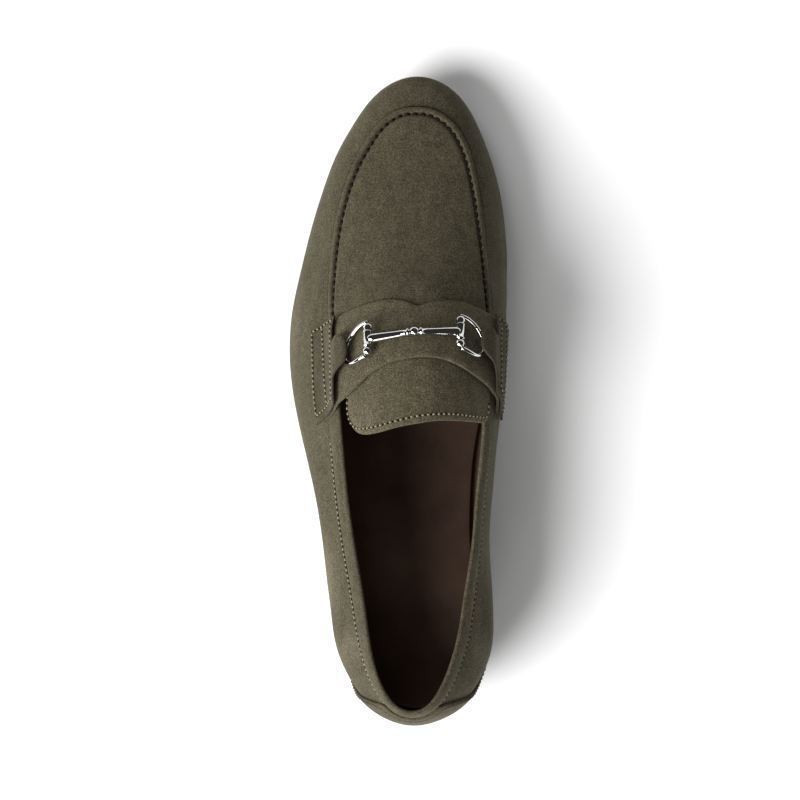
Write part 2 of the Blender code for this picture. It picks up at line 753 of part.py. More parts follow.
def loft(name, sections, finish):
    points = [point for section in sections for point in section]
    around = len(sections[0])
    faces = [tuple(range(around))]
    for row in range(len(sections) - 1):
        for place in range(around):
            after = (place + 1) % around
            faces.append((row * around + place, row * around + after,
                          (row + 1) * around + after, (row + 1) * around + place))
    last = (len(sections) - 1) * around
    faces.append(tuple(last + place for place in reversed(range(around))))
    return add_object(name, points, faces, finish)


def build_outsole():
    edges = side_edges(SOLE_EXTENSION)
    start = min(side[:, 1].min() for side in edges) + END_TRIM
    end = max(side[:, 1].max() for side in edges) - END_TRIM
    marks = [ARCH_FRONT * LENGTH, SPRING_START * LENGTH]
    sections = []
    for y in stations(start, end, marks, 34):
        left, right = edge_places(edges, y)
        low = float(underside(y / LENGTH))
        top = low + OUTSOLE_THICKNESS
        inset = min(EDGE_ROUND, (right - left) * 0.2)
        sections.append([
            (left + inset, y, low), (left, y, low + EDGE_ROUND), (left, y, top - EDGE_ROUND),
            (left + inset, y, top), (right - inset, y, top), (right, y, top - EDGE_ROUND),
            (right, y, low + EDGE_ROUND), (right - inset, y, low),
        ])
    loft("outsole", sections, (SOLE_LEATHER, 0.55))


def heel_section(edges, start, y, low, top, low_share, top_share):
    # the heel narrows towards the floor: low_share and top_share say how far
    left, right = edge_places(edges, y)
    middle = (left + right) / 2
    half = (right - left) / 2
    narrow = min(HEEL_TAPER, half * 0.5)
    forward = HEEL_TAPER * (1.0 - (y - start) / HEEL_LENGTH)
    corners = []
    for height, share in ((low, low_share), (top, top_share)):
        for sign in (-1.0, 1.0):
            corners.append((middle + sign * (half - narrow * share), y + forward * share, height))
    return [corners[0], corners[2], corners[3], corners[1]]


def build_heel():
    edges = side_edges(SOLE_EXTENSION)
    start = min(side[:, 1].min() for side in edges)
    joint = TOP_PIECE_THICKNESS
    joint_share = 1.0 - joint / HEEL_HEIGHT
    lifts = []
    top_piece = []
    for y in stations(start + END_TRIM, start + HEEL_LENGTH, [], 14):
        seat = float(underside(y / LENGTH)) - FIT
        lifts.append(heel_section(edges, start, y, joint + FIT, seat, joint_share, 0.0))
        top_piece.append(heel_section(edges, start, y, 0.0, joint, 1.0, joint_share))
    loft("heel_lifts", lifts, (SOLE_LEATHER, 0.5))
    loft("heel_top_piece", top_piece, (RUBBER, 0.7))


def build_insole():
    edges = side_edges(-INSOLE_INSET)
    start = min(side[:, 1].min() for side in edges) + END_TRIM
    end = max(side[:, 1].max() for side in edges) - END_TRIM
    sections = []
    for y in stations(start, end, [], 30):
        left, right = edge_places(edges, y)
        low = float(feather_height(y / LENGTH)) + UPPER_WALL + FIT
        top = low + INSOLE_THICKNESS
        inset = min(EDGE_ROUND, (right - left) * 0.2)
        sections.append([(left, y, low), (left, y, top - EDGE_ROUND), (left + inset, y, top),
                         (right - inset, y, top), (right, y, top - EDGE_ROUND), (right, y, low)])
    loft("insole", sections, (LINING, 0.6))


# The bit: two D-shaped rings on T-bars, two half bars and a link

def strap_surface(girth, y):
    ground, normal = SKIN.at(girth, y)
    return Vector(ground + normal * strap_high(girth, y)), Vector(normal)


def over_strap(girth, y, height):
    ground, normal = strap_surface(girth, y)
    return ground + normal * height


def tube(path, radii, around):
    # side directions are carried along the path, so that the tube doesn't twist
    path = [Vector(point) for point in path]
    points = []
    side = None
    for place, point in enumerate(path):
        before = path[max(place - 1, 0)]
        after = path[min(place + 1, len(path) - 1)]
        run = (after - before).normalized()
        if side is None:
            side = run.orthogonal()
        side = (side - run * side.dot(run)).normalized()
        other = run.cross(side)
        for step in range(around):
            angle = 2 * math.pi * step / around
            points.append(point + (side * math.cos(angle) + other * math.sin(angle)) * radii[place])
    faces = []
    for place in range(len(path) - 1):
        for step in range(around):
            a = place * around + step
            b = place * around + (step + 1) % around
            faces.append((a, b, b + around, a + around))
    faces.append(tuple(reversed(range(around))))
    faces.append(tuple((len(path) - 1) * around + step for step in range(around)))
    return points, faces


def bar_radius(share):
    # wide at the T-bar, narrow by the link
    return BAR_END_RADIUS + (BAR_MIDDLE_RADIUS - BAR_END_RADIUS) * float(smooth_step(share, 0.0, 0.8))


def clear_lift(start, end, start_girth, end_girth, start_y, end_y):
    # how far a straight bar is lifted so that it clears the strap all along
    lift = 0.0
    for step in range(41):
        share = step / 40
        girth = start_girth + (end_girth - start_girth) * share
        y = start_y + (end_y - start_y) * share
        ground, normal = strap_surface(girth, y)
        point = start.lerp(end, share)
        gap = (point - ground).dot(normal) - bar_radius(share) - BIT_LAY
        lift = max(lift, -gap)
    return lift


def build_bit():
    silver = (SILVER, 0.12, 1.0)
    centre_girth, centre_y = plan(BIT_CENTRE)
    centre = over_strap(centre_girth, centre_y, LINK_RADIUS + BIT_LAY)
    sides = (("lateral", T_BAR_LATERAL, RING_LATERAL), ("medial", T_BAR_MEDIAL, RING_MEDIAL))
    seats = {}
    lift = 0.0
    for name, place, _ in sides:
        girth, y = plan(place)
        seats[name] = over_strap(girth, y, COLLAR_BALL_RADIUS + BIT_LAY)
        lift = max(lift, clear_lift(seats[name], centre, girth, centre_girth, y, centre_y))
    rise = Vector((0.0, 0.0, BAR_LIFT_MARGIN * lift))
    centre = centre + rise
    for name, place, ring_place in sides:
        build_bit_half(name, seats[name] + rise, plan(place), ring_place * BALL_WIDTH, centre, silver)
    build_link(centre, silver)


def build_bit_half(name, seat, place, ring_girth, centre, finish):
    # one casting: the D-shaped ring, its T-bar with round ends, and the half bar
    girth, y = place
    _, up = strap_surface(girth, y)
    forward = Vector((0.0, up.z, -up.y)).normalized()
    ring = d_ring((seat - strap_surface(girth, y)[0]).length, girth, y, ring_girth)
    made = add_object("bit_" + name, *tube(ring, [RING_WIRE / 2] * len(ring), 8), finish)
    profile = t_bar_profile()
    t_path = [seat + forward * along for along, _ in profile]
    t_bar = add_object("t_bar_" + name, *tube(t_path, [radius for _, radius in profile], 10), finish)
    run = (centre - seat).normalized()
    start = seat + run * (0.5 * T_BAR_RADIUS)
    end = centre - run * (LINK_RADIUS + FIT)
    shares = (0.0, 0.08, 0.3, 0.55, 0.8, 0.90, 0.92, 1.0)
    radii = [bar_radius(share) for share in shares[:-2]] + [LINK_RADIUS * 0.85] * 2
    bar_path = [start.lerp(end, share) for share in shares]
    half_bar = add_object("half_bar_" + name, *tube(bar_path, radii, 10), finish)
    for extra in (t_bar, half_bar):
        join = made.modifiers.new("join_" + extra.name, "BOOLEAN")
        join.operation = "UNION"
        join.object = extra
        extra.hide_render = True
        extra.display_type = "WIRE"


def t_bar_profile():
    # a place along the bar and its radius there, from one round end to the other
    ball = COLLAR_BALL_RADIUS
    end = ((0.90, 0.45), (0.45, 0.88), (-.05, 1.0), (-.60, 0.80), (-.85, T_BAR_RADIUS / ball))
    front = [(T_BAR_HALF + place * ball, radius * ball) for place, radius in end]
    back = [(-along, radius) for along, radius in front]
    return back + front[::-1]


def d_ring(seat_height, girth, y, ring_girth):
    # the ring leaves the T-bar's round ends and bends down on to the strap
    points = []
    lying = RING_WIRE / 2 + BIT_LAY
    for step in range(RING_STEPS + 1):
        angle = math.pi * step / RING_STEPS
        reach = math.sin(angle) ** 0.8
        back = y + RING_HALF * math.cos(angle) - RING_DROOP * math.sin(angle)
        height = lying + (seat_height - lying) * (1.0 - float(smooth_step(reach, 0.0, 0.85)))
        points.append(over_strap(girth + (ring_girth - girth) * reach, back, height))
    return points


def build_link(centre, finish):
    work = bmesh.new()
    bmesh.ops.create_uvsphere(work, u_segments=12, v_segments=8, radius=LINK_RADIUS)
    points = [vertex.co + centre for vertex in work.verts]
    faces = [tuple(vertex.index for vertex in face.verts) for face in work.faces]
    work.free()
    add_object("bit_link", points, faces, finish)


def main():
    for item in list(bpy.data.objects):
        bpy.data.objects.remove(item)
    build_upper()
    build_outsole()
    build_heel()
    build_insole()
    build_laid_pieces()
    build_counter()
    build_bit()
    for item in bpy.data.objects:
        item.location.y = -HEEL_REST


main()
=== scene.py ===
import math

import bmesh
import bpy
import numpy as np
from mathutils import Matrix, Vector
from mathutils.bvhtree import BVHTree
from mathutils.geometry import delaunay_2d_cdt
from mathutils.kdtree import KDTree


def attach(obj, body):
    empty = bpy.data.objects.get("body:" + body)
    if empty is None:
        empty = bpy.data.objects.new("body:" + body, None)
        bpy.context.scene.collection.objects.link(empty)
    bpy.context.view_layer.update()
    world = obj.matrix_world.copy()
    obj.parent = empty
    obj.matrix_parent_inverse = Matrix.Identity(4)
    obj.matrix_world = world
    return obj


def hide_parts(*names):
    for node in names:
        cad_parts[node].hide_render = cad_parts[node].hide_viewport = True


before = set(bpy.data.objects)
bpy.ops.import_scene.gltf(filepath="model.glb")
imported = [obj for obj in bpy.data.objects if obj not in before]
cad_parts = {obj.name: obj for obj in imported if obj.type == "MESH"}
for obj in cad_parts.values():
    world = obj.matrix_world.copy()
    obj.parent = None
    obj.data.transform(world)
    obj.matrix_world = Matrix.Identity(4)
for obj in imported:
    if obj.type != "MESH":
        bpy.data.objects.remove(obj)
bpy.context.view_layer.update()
print("frame loaded,", len(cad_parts), "solids")

# The shoe's own sizes. The tables below are shares of them.
shoe = {
    "length": 0.300,
    "ballWidth": 0.100,
    "collarHeight": 0.050,
    "toeHeight": 0.025,
    "instepCrown": 0.024,
    "heelHeight": 0.022,
    "toeSpring": 0.008,
    "soleThickness": 0.0045,
    "heelRest": 0.038,      # from the heel's back end to the origin
    "archFront": 0.60,
    "seatFront": 0.10,
    "springStart": 0.70,
    "fit": 0.0003,
    "lay": 0.0004,
}

# One row for each section from heel to toe: place along, outer and inner side, the top
# line's place and sides, its rise, its lean, the widest line, the tuck below, the crown.
lastColumns = (
    "along", "lateral", "medial", "topAlong", "topLateral", "topMedial",
    "riseLateral", "riseMedial", "leanLateral", "leanMedial",
    "bulge", "tuckLateral", "tuckMedial", "crown",
)
lastRows = (
    (0.012, 0.002, 0.002, 0.034, 0.004, 0.004, 1.00, 1.00, 6.0, 6.0, 0.34, 0.030, 0.030, 1.50),
    (0.021, -.116, 0.121, 0.041, -.068, 0.072, 1.00, 1.00, 6.0, 6.0, 0.34, 0.030, 0.030, 1.50),
    (0.040, -.206, 0.216, 0.059, -.120, 0.122, 0.98, 0.99, 5.0, 5.0, 0.34, 0.030, 0.030, 1.50),
    (0.072, -.283, 0.293, 0.091, -.168, 0.170, 0.95, 0.97, 4.0, 4.5, 0.34, 0.030, 0.032, 1.50),
    (0.120, -.350, 0.352, 0.140, -.204, 0.216, 0.90, 0.93, 3.2, 4.0, 0.34, 0.032, 0.038, 1.50),
    (0.190, -.388, 0.362, 0.205, -.234, 0.249, 0.87, 0.91, 2.8, 4.0, 0.36, 0.038, 0.055, 1.50),
    (0.270, -.418, 0.348, 0.280, -.274, 0.283, 0.88, 0.93, 2.6, 4.0, 0.38, 0.048, 0.078, 1.50),
    (0.350, -.457, 0.357, 0.355, -.308, 0.302, 0.94, 1.00, 2.4, 3.6, 0.40, 0.056, 0.090, 1.50),
    (0.430, -.514, 0.376, 0.430, -.328, 0.326, 1.18, 1.25, 2.0, 3.0, 0.42, 0.058, 0.088, 1.32),
    (0.500, -.563, 0.400, 0.500, -.343, 0.336, 1.58, 1.67, 1.6, 2.4, 0.44, 0.052, 0.070, 1.02),
    (0.570, -.588, 0.413, 0.570, -.359, 0.340, 1.85, 2.00, 1.4, 1.9, 0.47, 0.040, 0.048, 0.90),
    (0.640, -.577, 0.422, 0.640, -.366, 0.332, 1.84, 2.02, 1.1, 1.3, 0.46, 0.032, 0.034, 0.76),
    (0.710, -.532, 0.424, 0.705, -.358, 0.314, 1.66, 1.82, 0.85, 0.95, 0.43, 0.030, 0.030, 0.52),
    (0.775, -.482, 0.410, 0.765, -.336, 0.292, 1.49, 1.62, 0.66, 0.70, 0.40, 0.030, 0.030, 0.34),
    (0.830, -.430, 0.384, 0.815, -.301, 0.268, 1.34, 1.44, 0.56, 0.58, 0.38, 0.030, 0.030, 0.25),
    (0.880, -.372, 0.340, 0.858, -.253, 0.240, 1.22, 1.29, 0.50, 0.52, 0.36, 0.030, 0.030, 0.18),
    (0.925, -.296, 0.286, 0.893, -.195, 0.202, 1.12, 1.16, 0.46, 0.48, 0.35, 0.030, 0.030, 0.12),
    (0.960, -.222, 0.226, 0.918, -.140, 0.150, 1.05, 1.07, 0.44, 0.45, 0.34, 0.030, 0.030, 0.06),
    (0.985, -.138, 0.148, 0.933, -.075, 0.086, 1.00, 1.01, 0.43, 0.43, 0.34, 0.030, 0.030, 0.02),
    (1.000, 0.006, 0.006, 0.938, 0.004, 0.004, 0.98, 0.98, 0.43, 0.43, 0.34, 0.030, 0.030, 0.00),
)
toeRow = len(lastRows) - 1


# Small helpers for pieces and faces

def smoothStep(value, start, end):
    share = np.clip((value - start) / (end - start), 0.0, 1.0)
    return share * share * (3.0 - 2.0 * share)


def addPiece(name, points, faces, finishes, replaced, marks=None, fields=None):
    # marks gives each face its finish, fields are values kept at the points for the finish to read
    points = np.array([tuple(point) for point in points], dtype=float)
    points[:, 1] -= shoe["heelRest"]
    mesh = bpy.data.meshes.new(name)
    mesh.from_pydata(points.tolist(), [], [tuple(face) for face in faces])
    for finish in finishes:
        mesh.materials.append(finish)
    if marks is not None:
        mesh.polygons.foreach_set("material_index", marks)
    for field, values in (fields or {}).items():
        layer = mesh.attributes.new(field, "FLOAT", "POINT")
        layer.data.foreach_set("value", np.asarray(values, dtype=np.float32))
    work = bmesh.new()
    work.from_mesh(mesh)
    bmesh.ops.recalc_face_normals(work, faces=work.faces[:])
    if work.calc_volume(signed=True) < 0.0:
        bmesh.ops.reverse_faces(work, faces=work.faces[:])
    work.to_mesh(mesh)
    work.free()
    mesh.shade_smooth()
    piece = bpy.data.objects.new(name, mesh)
    bpy.context.scene.collection.objects.link(piece)
    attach(piece, "root")
    if replaced:
        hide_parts(replaced)
    return piece


def joined(parts):
    # several lists of points and faces as one
    points = []
    faces = []
    for partPoints, partFaces in parts:
        shift = len(points)
        points += [tuple(point) for point in partPoints]
        faces += [tuple(corner + shift for corner in face) for face in partFaces]
    return points, faces


def bandFaces(first, second):
    # the faces between two closed loops of points
    after = list(range(1, len(first))) + [0]
    return [(first[place], first[after[place]], second[after[place]], second[place])
            for place in range(len(first))]


def layerFaces(low, count):
    # the faces between one ring of count points that starts at low and the next ring
    return bandFaces(range(low, low + count), range(low + count, low + 2 * count))


def gridFaces(before, after):
    # the faces between two open rows of points
    return [(before[column], after[column], after[column + 1], before[column + 1])
            for column in range(len(before) - 1)]


# Shader building

def addNode(tree, kind, inputs=None, **settings):
    node = tree.nodes.new(kind)
    for name, value in settings.items():
        setattr(node, name, value)
    for name, value in (inputs or {}).items():
        socket = node.inputs[name]
        if isinstance(value, bpy.types.NodeSocket):
            tree.links.new(value, socket)
        else:
            socket.default_value = value
    return node


def mathNode(tree, operation, first, second):
    return addNode(tree, "ShaderNodeMath", {0: first, 1: second}, operation=operation).outputs[0]


def rampNode(tree, value, stops):
    node = addNode(tree, "ShaderNodeValToRGB", {"Fac": value})
    points = node.color_ramp.elements
    while len(points) < len(stops):
        points.new(0.5)
    for point, (place, colour) in zip(points, stops):
        point.position = place
        point.color = (*colour, 1.0)
    return node.outputs["Color"]


def newGroup(name, inputs, outputs):
    group = bpy.data.node_groups.new(name, "ShaderNodeTree")
    for label, value in inputs:
        socket = group.interface.new_socket(label, in_out="INPUT", socket_type="NodeSocketFloat")
        socket.default_value = value
    for label in outputs:
        group.interface.new_socket(label, in_out="OUTPUT", socket_type="NodeSocketFloat")
    start = group.nodes.new("NodeGroupInput")
    end = group.nodes.new("NodeGroupOutput")
    return group, start.outputs, end.inputs


napLook = {
    "grainWeight": 1.45,
    "clumpWeight": 0.26,
    "cloudScale": 26.0,
    "brushScale": (230.0, 34.0, 150.0),     # long strokes along the shoe
    "brushTurn": (0.0, 0.0, 0.12),
    "heightShare": 0.6,
}


def makeNapGroup():
    # short suede nap: fine grain, small clumps, brushed streaks and soft clouds
    group, given, out = newGroup(
        "shortNap", (("Grain", 1600.0), ("Clumps", 260.0), ("Streaks", 0.30), ("Clouds", 0.45)),
        ("Tone", "Height"))
    place = addNode(group, "ShaderNodeTexCoord").outputs["Object"]
    grain = addNode(group, "ShaderNodeTexNoise",
                    {"Vector": place, "Scale": given["Grain"], "Detail": 3.0, "Roughness": 0.65})
    clump = addNode(group, "ShaderNodeTexNoise",
                    {"Vector": place, "Scale": given["Clumps"], "Detail": 3.0, "Roughness": 0.6})
    cloud = addNode(group, "ShaderNodeTexNoise",
                    {"Vector": place, "Scale": napLook["cloudScale"], "Detail": 3.0, "Distortion": 0.6})
    brushed = addNode(group, "ShaderNodeMapping", {"Vector": place, "Scale": napLook["brushScale"],
                                                   "Rotation": napLook["brushTurn"]})
    streak = addNode(group, "ShaderNodeTexNoise",
                     {"Vector": brushed.outputs[0], "Scale": 1.0, "Detail": 3.0, "Distortion": 0.5})
    tone = 0.5
    parts = ((grain, napLook["grainWeight"]), (clump, napLook["clumpWeight"]),
             (streak, given["Streaks"]), (cloud, given["Clouds"]))
    for noise, weight in parts:
        centred = mathNode(group, "SUBTRACT", noise.outputs[0], 0.5)
        tone = mathNode(group, "ADD", tone, mathNode(group, "MULTIPLY", centred, weight))
    group.links.new(tone, out["Tone"])
    share = napLook["heightShare"]
    height = mathNode(group, "ADD", mathNode(group, "MULTIPLY", grain.outputs[0], share),
                      mathNode(group, "MULTIPLY", clump.outputs[0], share))
    group.links.new(height, out["Height"])
    return group


def makeGrainGroup():
    # smooth leather: fine pores and a slow change of tone
    group, given, out = newGroup("leatherGrain", (("Pores", 1100.0), ("Patches", 45.0)),
                                 ("Tone", "Height"))
    place = addNode(group, "ShaderNodeTexCoord").outputs["Object"]
    pores = addNode(group, "ShaderNodeTexVoronoi", {"Vector": place, "Scale": given["Pores"]})
    patches = addNode(group, "ShaderNodeTexNoise",
                      {"Vector": place, "Scale": given["Patches"], "Detail": 4.0})
    fine = addNode(group, "ShaderNodeTexNoise",
                   {"Vector": place, "Scale": given["Pores"], "Detail": 2.0})
    group.links.new(mathNode(group, "ADD", mathNode(group, "MULTIPLY", patches.outputs[0], 0.8),
                             mathNode(group, "MULTIPLY", fine.outputs[0], 0.2)), out["Tone"])
    group.links.new(pores.outputs["Distance"], out["Height"])
    return group


napGroup = makeNapGroup()
grainGroup = makeGrainGroup()


def newFinish(name, roughness, metallic=0.0):
    finish = bpy.data.materials.new(name)
    finish.use_nodes = True
    shader = finish.node_tree.nodes["Principled BSDF"]
    shader.inputs["Roughness"].default_value = roughness
    shader.inputs["Metallic"].default_value = metallic
    return finish, finish.node_tree, shader


suedeLook = {
    "dark": (0.022, 0.019, 0.012),
    "body": (0.060, 0.051, 0.031),
    "pale": (0.122, 0.108, 0.070),
    # painted shade: the near-black colour mixed into the seam groove and the thin line outside the
    # apron's rib
    "grooveAndPaintedShade": (0.010, 0.008, 0.005),
    # pale nap for rubbed wear, and a painted highlight on the outer rear quarter
    "wearAndPaintedHighlight": (0.215, 0.192, 0.128),
    "sheen": 0.16,
    "sheenColour": (0.80, 0.74, 0.56),
    "sheenSpread": 0.45,
    "gloss": 0.15,
    "bumpStrength": 0.55,
    "bumpDepth": 0.0005,
    "stops": (0.24, 0.50, 0.80),    # where the dark, the body and the pale tone lie
}


def makeSuede(name, clouds=0.15, streaks=0.22, lift=1.0, shadeHighlightAndWear=False):
    finish, tree, shader = newFinish(name, 0.95)
    nap = addNode(tree, "ShaderNodeGroup", node_tree=napGroup)
    nap.inputs["Clouds"].default_value = clouds
    nap.inputs["Streaks"].default_value = streaks
    # lift scales the three tones; the piece copies below use it to paint light and shade
    tones = [tuple(lift * channel for channel in suedeLook[tone]) for tone in ("dark", "body", "pale")]
    colour = rampNode(tree, nap.outputs["Tone"], list(zip(suedeLook["stops"], tones)))
    # painted shade in the seam's groove, and paler spots that are partly rubbed nap and partly a painted
    # highlight
    if shadeHighlightAndWear:
        deep = addNode(tree, "ShaderNodeAttribute", attribute_name="grooveAndPaintedShade").outputs["Fac"]
        mixed = addNode(tree, "ShaderNodeMix", {"Factor": deep, 6: colour,
                                                7: (*suedeLook["grooveAndPaintedShade"], 1.0)}, data_type="RGBA")
        colour = mixed.outputs[2]
        wearAndPaintedHighlight = addNode(tree, "ShaderNodeAttribute", attribute_name="wearAndPaintedHighlight").outputs["Fac"]
        wornAndLit = mathNode(tree, "MULTIPLY", wearAndPaintedHighlight, nap.outputs["Tone"])
        mixed = addNode(tree, "ShaderNodeMix", {"Factor": wornAndLit, 6: colour,
                                                7: (*suedeLook["wearAndPaintedHighlight"], 1.0)}, data_type="RGBA")
        colour = mixed.outputs[2]
    tree.links.new(colour, shader.inputs["Base Color"])
    bump = addNode(tree, "ShaderNodeBump", {"Height": nap.outputs["Height"],
                                            "Strength": suedeLook["bumpStrength"],
                                            "Distance": suedeLook["bumpDepth"]})
    tree.links.new(bump.outputs[0], shader.inputs["Normal"])
    shader.inputs["Sheen Weight"].default_value = suedeLook["sheen"]
    shader.inputs["Sheen Roughness"].default_value = suedeLook["sheenSpread"]
    shader.inputs["Sheen Tint"].default_value = (*suedeLook["sheenColour"], 1.0)
    shader.inputs["Specular IOR Level"].default_value = suedeLook["gloss"]
    return finish


def makeLeather(name, dark, pale, roughness, pores=1100.0, bumpDepth=0.0001, coat=0.0, gloss=0.5):
    finish, tree, shader = newFinish(name, roughness)
    grain = addNode(tree, "ShaderNodeGroup", node_tree=grainGroup)
    grain.inputs["Pores"].default_value = pores
    colour = rampNode(tree, grain.outputs["Tone"], [(0.30, dark), (0.70, pale)])
    tree.links.new(colour, shader.inputs["Base Color"])
    bump = addNode(tree, "ShaderNodeBump", {"Height": grain.outputs["Height"], "Strength": 0.5,
                                            "Distance": bumpDepth})
    tree.links.new(bump.outputs[0], shader.inputs["Normal"])
    shader.inputs["Specular IOR Level"].default_value = gloss
    shader.inputs["Coat Weight"].default_value = coat
    shader.inputs["Coat Roughness"].default_value = 0.3
    return finish


def makeThread(name, dark, pale, sheen=0.0):
    finish, tree, shader = newFinish(name, 0.7)
    place = addNode(tree, "ShaderNodeTexCoord").outputs["Object"]
    strands = addNode(tree, "ShaderNodeTexNoise", {"Vector": place, "Scale": 3000.0, "Detail": 1.0})
    colour = rampNode(tree, strands.outputs[0], [(0.35, dark), (0.65, pale)])
    tree.links.new(colour, shader.inputs["Base Color"])
    bump = addNode(tree, "ShaderNodeBump", {"Height": strands.outputs[0], "Strength": 0.6,
                                            "Distance": 0.0002})
    tree.links.new(bump.outputs[0], shader.inputs["Normal"])
    shader.inputs["Sheen Weight"].default_value = sheen
    shader.inputs["Specular IOR Level"].default_value = 0.12
    return finish


def makePolished(name, colour, roughness):
    # polished metal with faint hairlines that only move its roughness
    finish, tree, shader = newFinish(name, roughness, 1.0)
    shader.inputs["Base Color"].default_value = (*colour, 1.0)
    place = addNode(tree, "ShaderNodeTexCoord").outputs["Object"]
    hairs = addNode(tree, "ShaderNodeTexNoise", {"Vector": place, "Scale": 700.0, "Detail": 3.0})
    spread = addNode(tree, "ShaderNodeMapRange", {0: hairs.outputs[0], 3: roughness * 0.6,
                                                  4: roughness * 1.6})
    tree.links.new(spread.outputs[0], shader.inputs["Roughness"])
    return finish


suede = makeSuede("suede", shadeHighlightAndWear=True)
# lit and shaded copies of the one suede: lift paints the strap and tongue paler and the keepers darker as
# painted light and shade, the counter a little paler
strapSuedeLit = makeSuede("strap_suede_lit", clouds=0.14, streaks=0.18, lift=1.34)
keeperSuedeShaded = makeSuede("keeper_suede_shaded", clouds=0.14, streaks=0.20, lift=0.80)
tongueSuedeLit = makeSuede("tongue_suede", clouds=0.12, streaks=0.22, lift=1.36)
counterSuede = makeSuede("counter_suede", clouds=0.14, streaks=0.20, lift=1.04)
# painted highlight: a paler copy of the suede for the cut edges of the strap and the heel counter
edgeSuedeHighlight = makeSuede("suede_edge_highlight", clouds=0.12, streaks=0.15, lift=1.45)
cutEdge = makeLeather("cut_edge", (0.020, 0.013, 0.008), (0.050, 0.034, 0.021), 0.85, 1600.0)
lining = makeLeather("lining_leather", (0.048, 0.027, 0.018), (0.086, 0.051, 0.035), 0.70, 1300.0,
                     gloss=0.15)
sockLeather = makeLeather("sock_leather", (0.042, 0.024, 0.016), (0.074, 0.044, 0.031), 0.65, 1300.0,
                          gloss=0.15)
soleLeather = makeLeather("sole_leather", (0.11, 0.060, 0.032), (0.20, 0.115, 0.062), 0.50, 700.0)
soleEdge = makeLeather("sole_edge", (0.028, 0.016, 0.010), (0.050, 0.030, 0.018), 0.35, 900.0,
                       0.00005, 0.4)
rubber = makeLeather("heel_rubber", (0.014, 0.013, 0.012), (0.026, 0.024, 0.022), 0.75, 500.0)
fineThread = makeThread("fine_thread", (0.150, 0.132, 0.080), (0.360, 0.325, 0.205), 0.05)
toneThread = makeThread("tone_thread", (0.040, 0.034, 0.020), (0.085, 0.074, 0.046))
# the apron's hand stitches, coloured near black as painted shade of their sunken holes
apronThreadShaded = makeThread("apron_thread_shaded", (0.004, 0.003, 0.002), (0.013, 0.010, 0.007))
# painted shade: near-black discs at the needle holes stand in for the shade inside them
holeShade = makeThread("needle_hole_shade", (0.004, 0.003, 0.002), (0.010, 0.008, 0.005))
silver = makePolished("bit_silver", (0.66, 0.65, 0.63), 0.06)
print("finishes made")


# The last: closed splines through the rows, lateral side first, then back along the medial

def readRows():
    table = {name: np.array([row[place] for row in lastRows])
             for place, name in enumerate(lastColumns)}
    columns = {}
    for name in ("along", "topAlong", "bulge", "crown"):
        columns[name] = np.concatenate([table[name], table[name][-2:0:-1]])
    pairs = (("side", "lateral", "medial"), ("topSide", "topLateral", "topMedial"),
             ("rise", "riseLateral", "riseMedial"), ("lean", "leanLateral", "leanMedial"),
             ("tuck", "tuckLateral", "tuckMedial"))
    for name, outer, inner in pairs:
        columns[name] = np.concatenate([table[outer], table[inner][-2:0:-1]])
    return columns


rowValues = readRows()


def chordPlaces():
    x = rowValues["side"] * shoe["ballWidth"]
    y = rowValues["along"] * shoe["length"]
    chords = np.hypot(np.diff(np.append(x, x[0])), np.diff(np.append(y, y[0])))
    return np.concatenate([[0.0], np.cumsum(chords)])


rowKnots = chordPlaces()


def splineSlopes(values):
    count = len(values)
    widths = np.diff(rowKnots)
    system = np.zeros((count, count))
    target = np.zeros(count)
    for place in range(count):
        before = widths[place - 1]
        after = widths[place]
        system[place, place - 1] = after
        system[place, place] = 2.0 * (before + after)
        system[place, (place + 1) % count] = before
        riseAfter = (values[(place + 1) % count] - values[place]) / after
        riseBefore = (values[place] - values[place - 1]) / before
        target[place] = 3.0 * (after * riseBefore + before * riseAfter)
    return np.linalg.solve(system, target)


rowSlopes = {name: splineSlopes(values) for name, values in rowValues.items()}


def knotOf(row, side):
    places = np.arange(toeRow + 1)
    if side < 0:
        return np.interp(row, places, rowKnots[:toeRow + 1])
    return np.interp(row, places, rowKnots[toeRow:][::-1])


def readSpline(name, knots):
    knots = np.mod(knots, rowKnots[-1])
    place = np.clip(np.searchsorted(rowKnots, knots, side="right") - 1, 0, len(rowKnots) - 2)
    width = rowKnots[place + 1] - rowKnots[place]
    share = (knots - rowKnots[place]) / width
    values = rowValues[name]
    slopes = rowSlopes[name]
    after = (place + 1) % len(values)
    square = share * share
    cube = square * share
    return ((2 * cube - 3 * square + 1) * values[place]
            + (cube - 2 * square + share) * width * slopes[place]
            + (3 * square - 2 * cube) * values[after] + (cube - square) * width * slopes[after])


def underside(along):
    arch = np.clip((shoe["archFront"] - along) / (shoe["archFront"] - shoe["seatFront"]), 0.0, 1.0)
    rise = shoe["heelHeight"] * (0.5 - 0.5 * np.cos(math.pi * arch))
    spring = np.clip((along - shoe["springStart"]) / (1.0 - shoe["springStart"]), 0.0, None)
    return rise + shoe["toeSpring"] * spring ** 2


def featherHeight(along):
    return underside(along) + shoe["soleThickness"] + shoe["fit"]


def localHeight(along):
    front = smoothStep(along, 0.35, 0.65)
    return shoe["collarHeight"] * (1.0 - front) + shoe["toeHeight"] * front


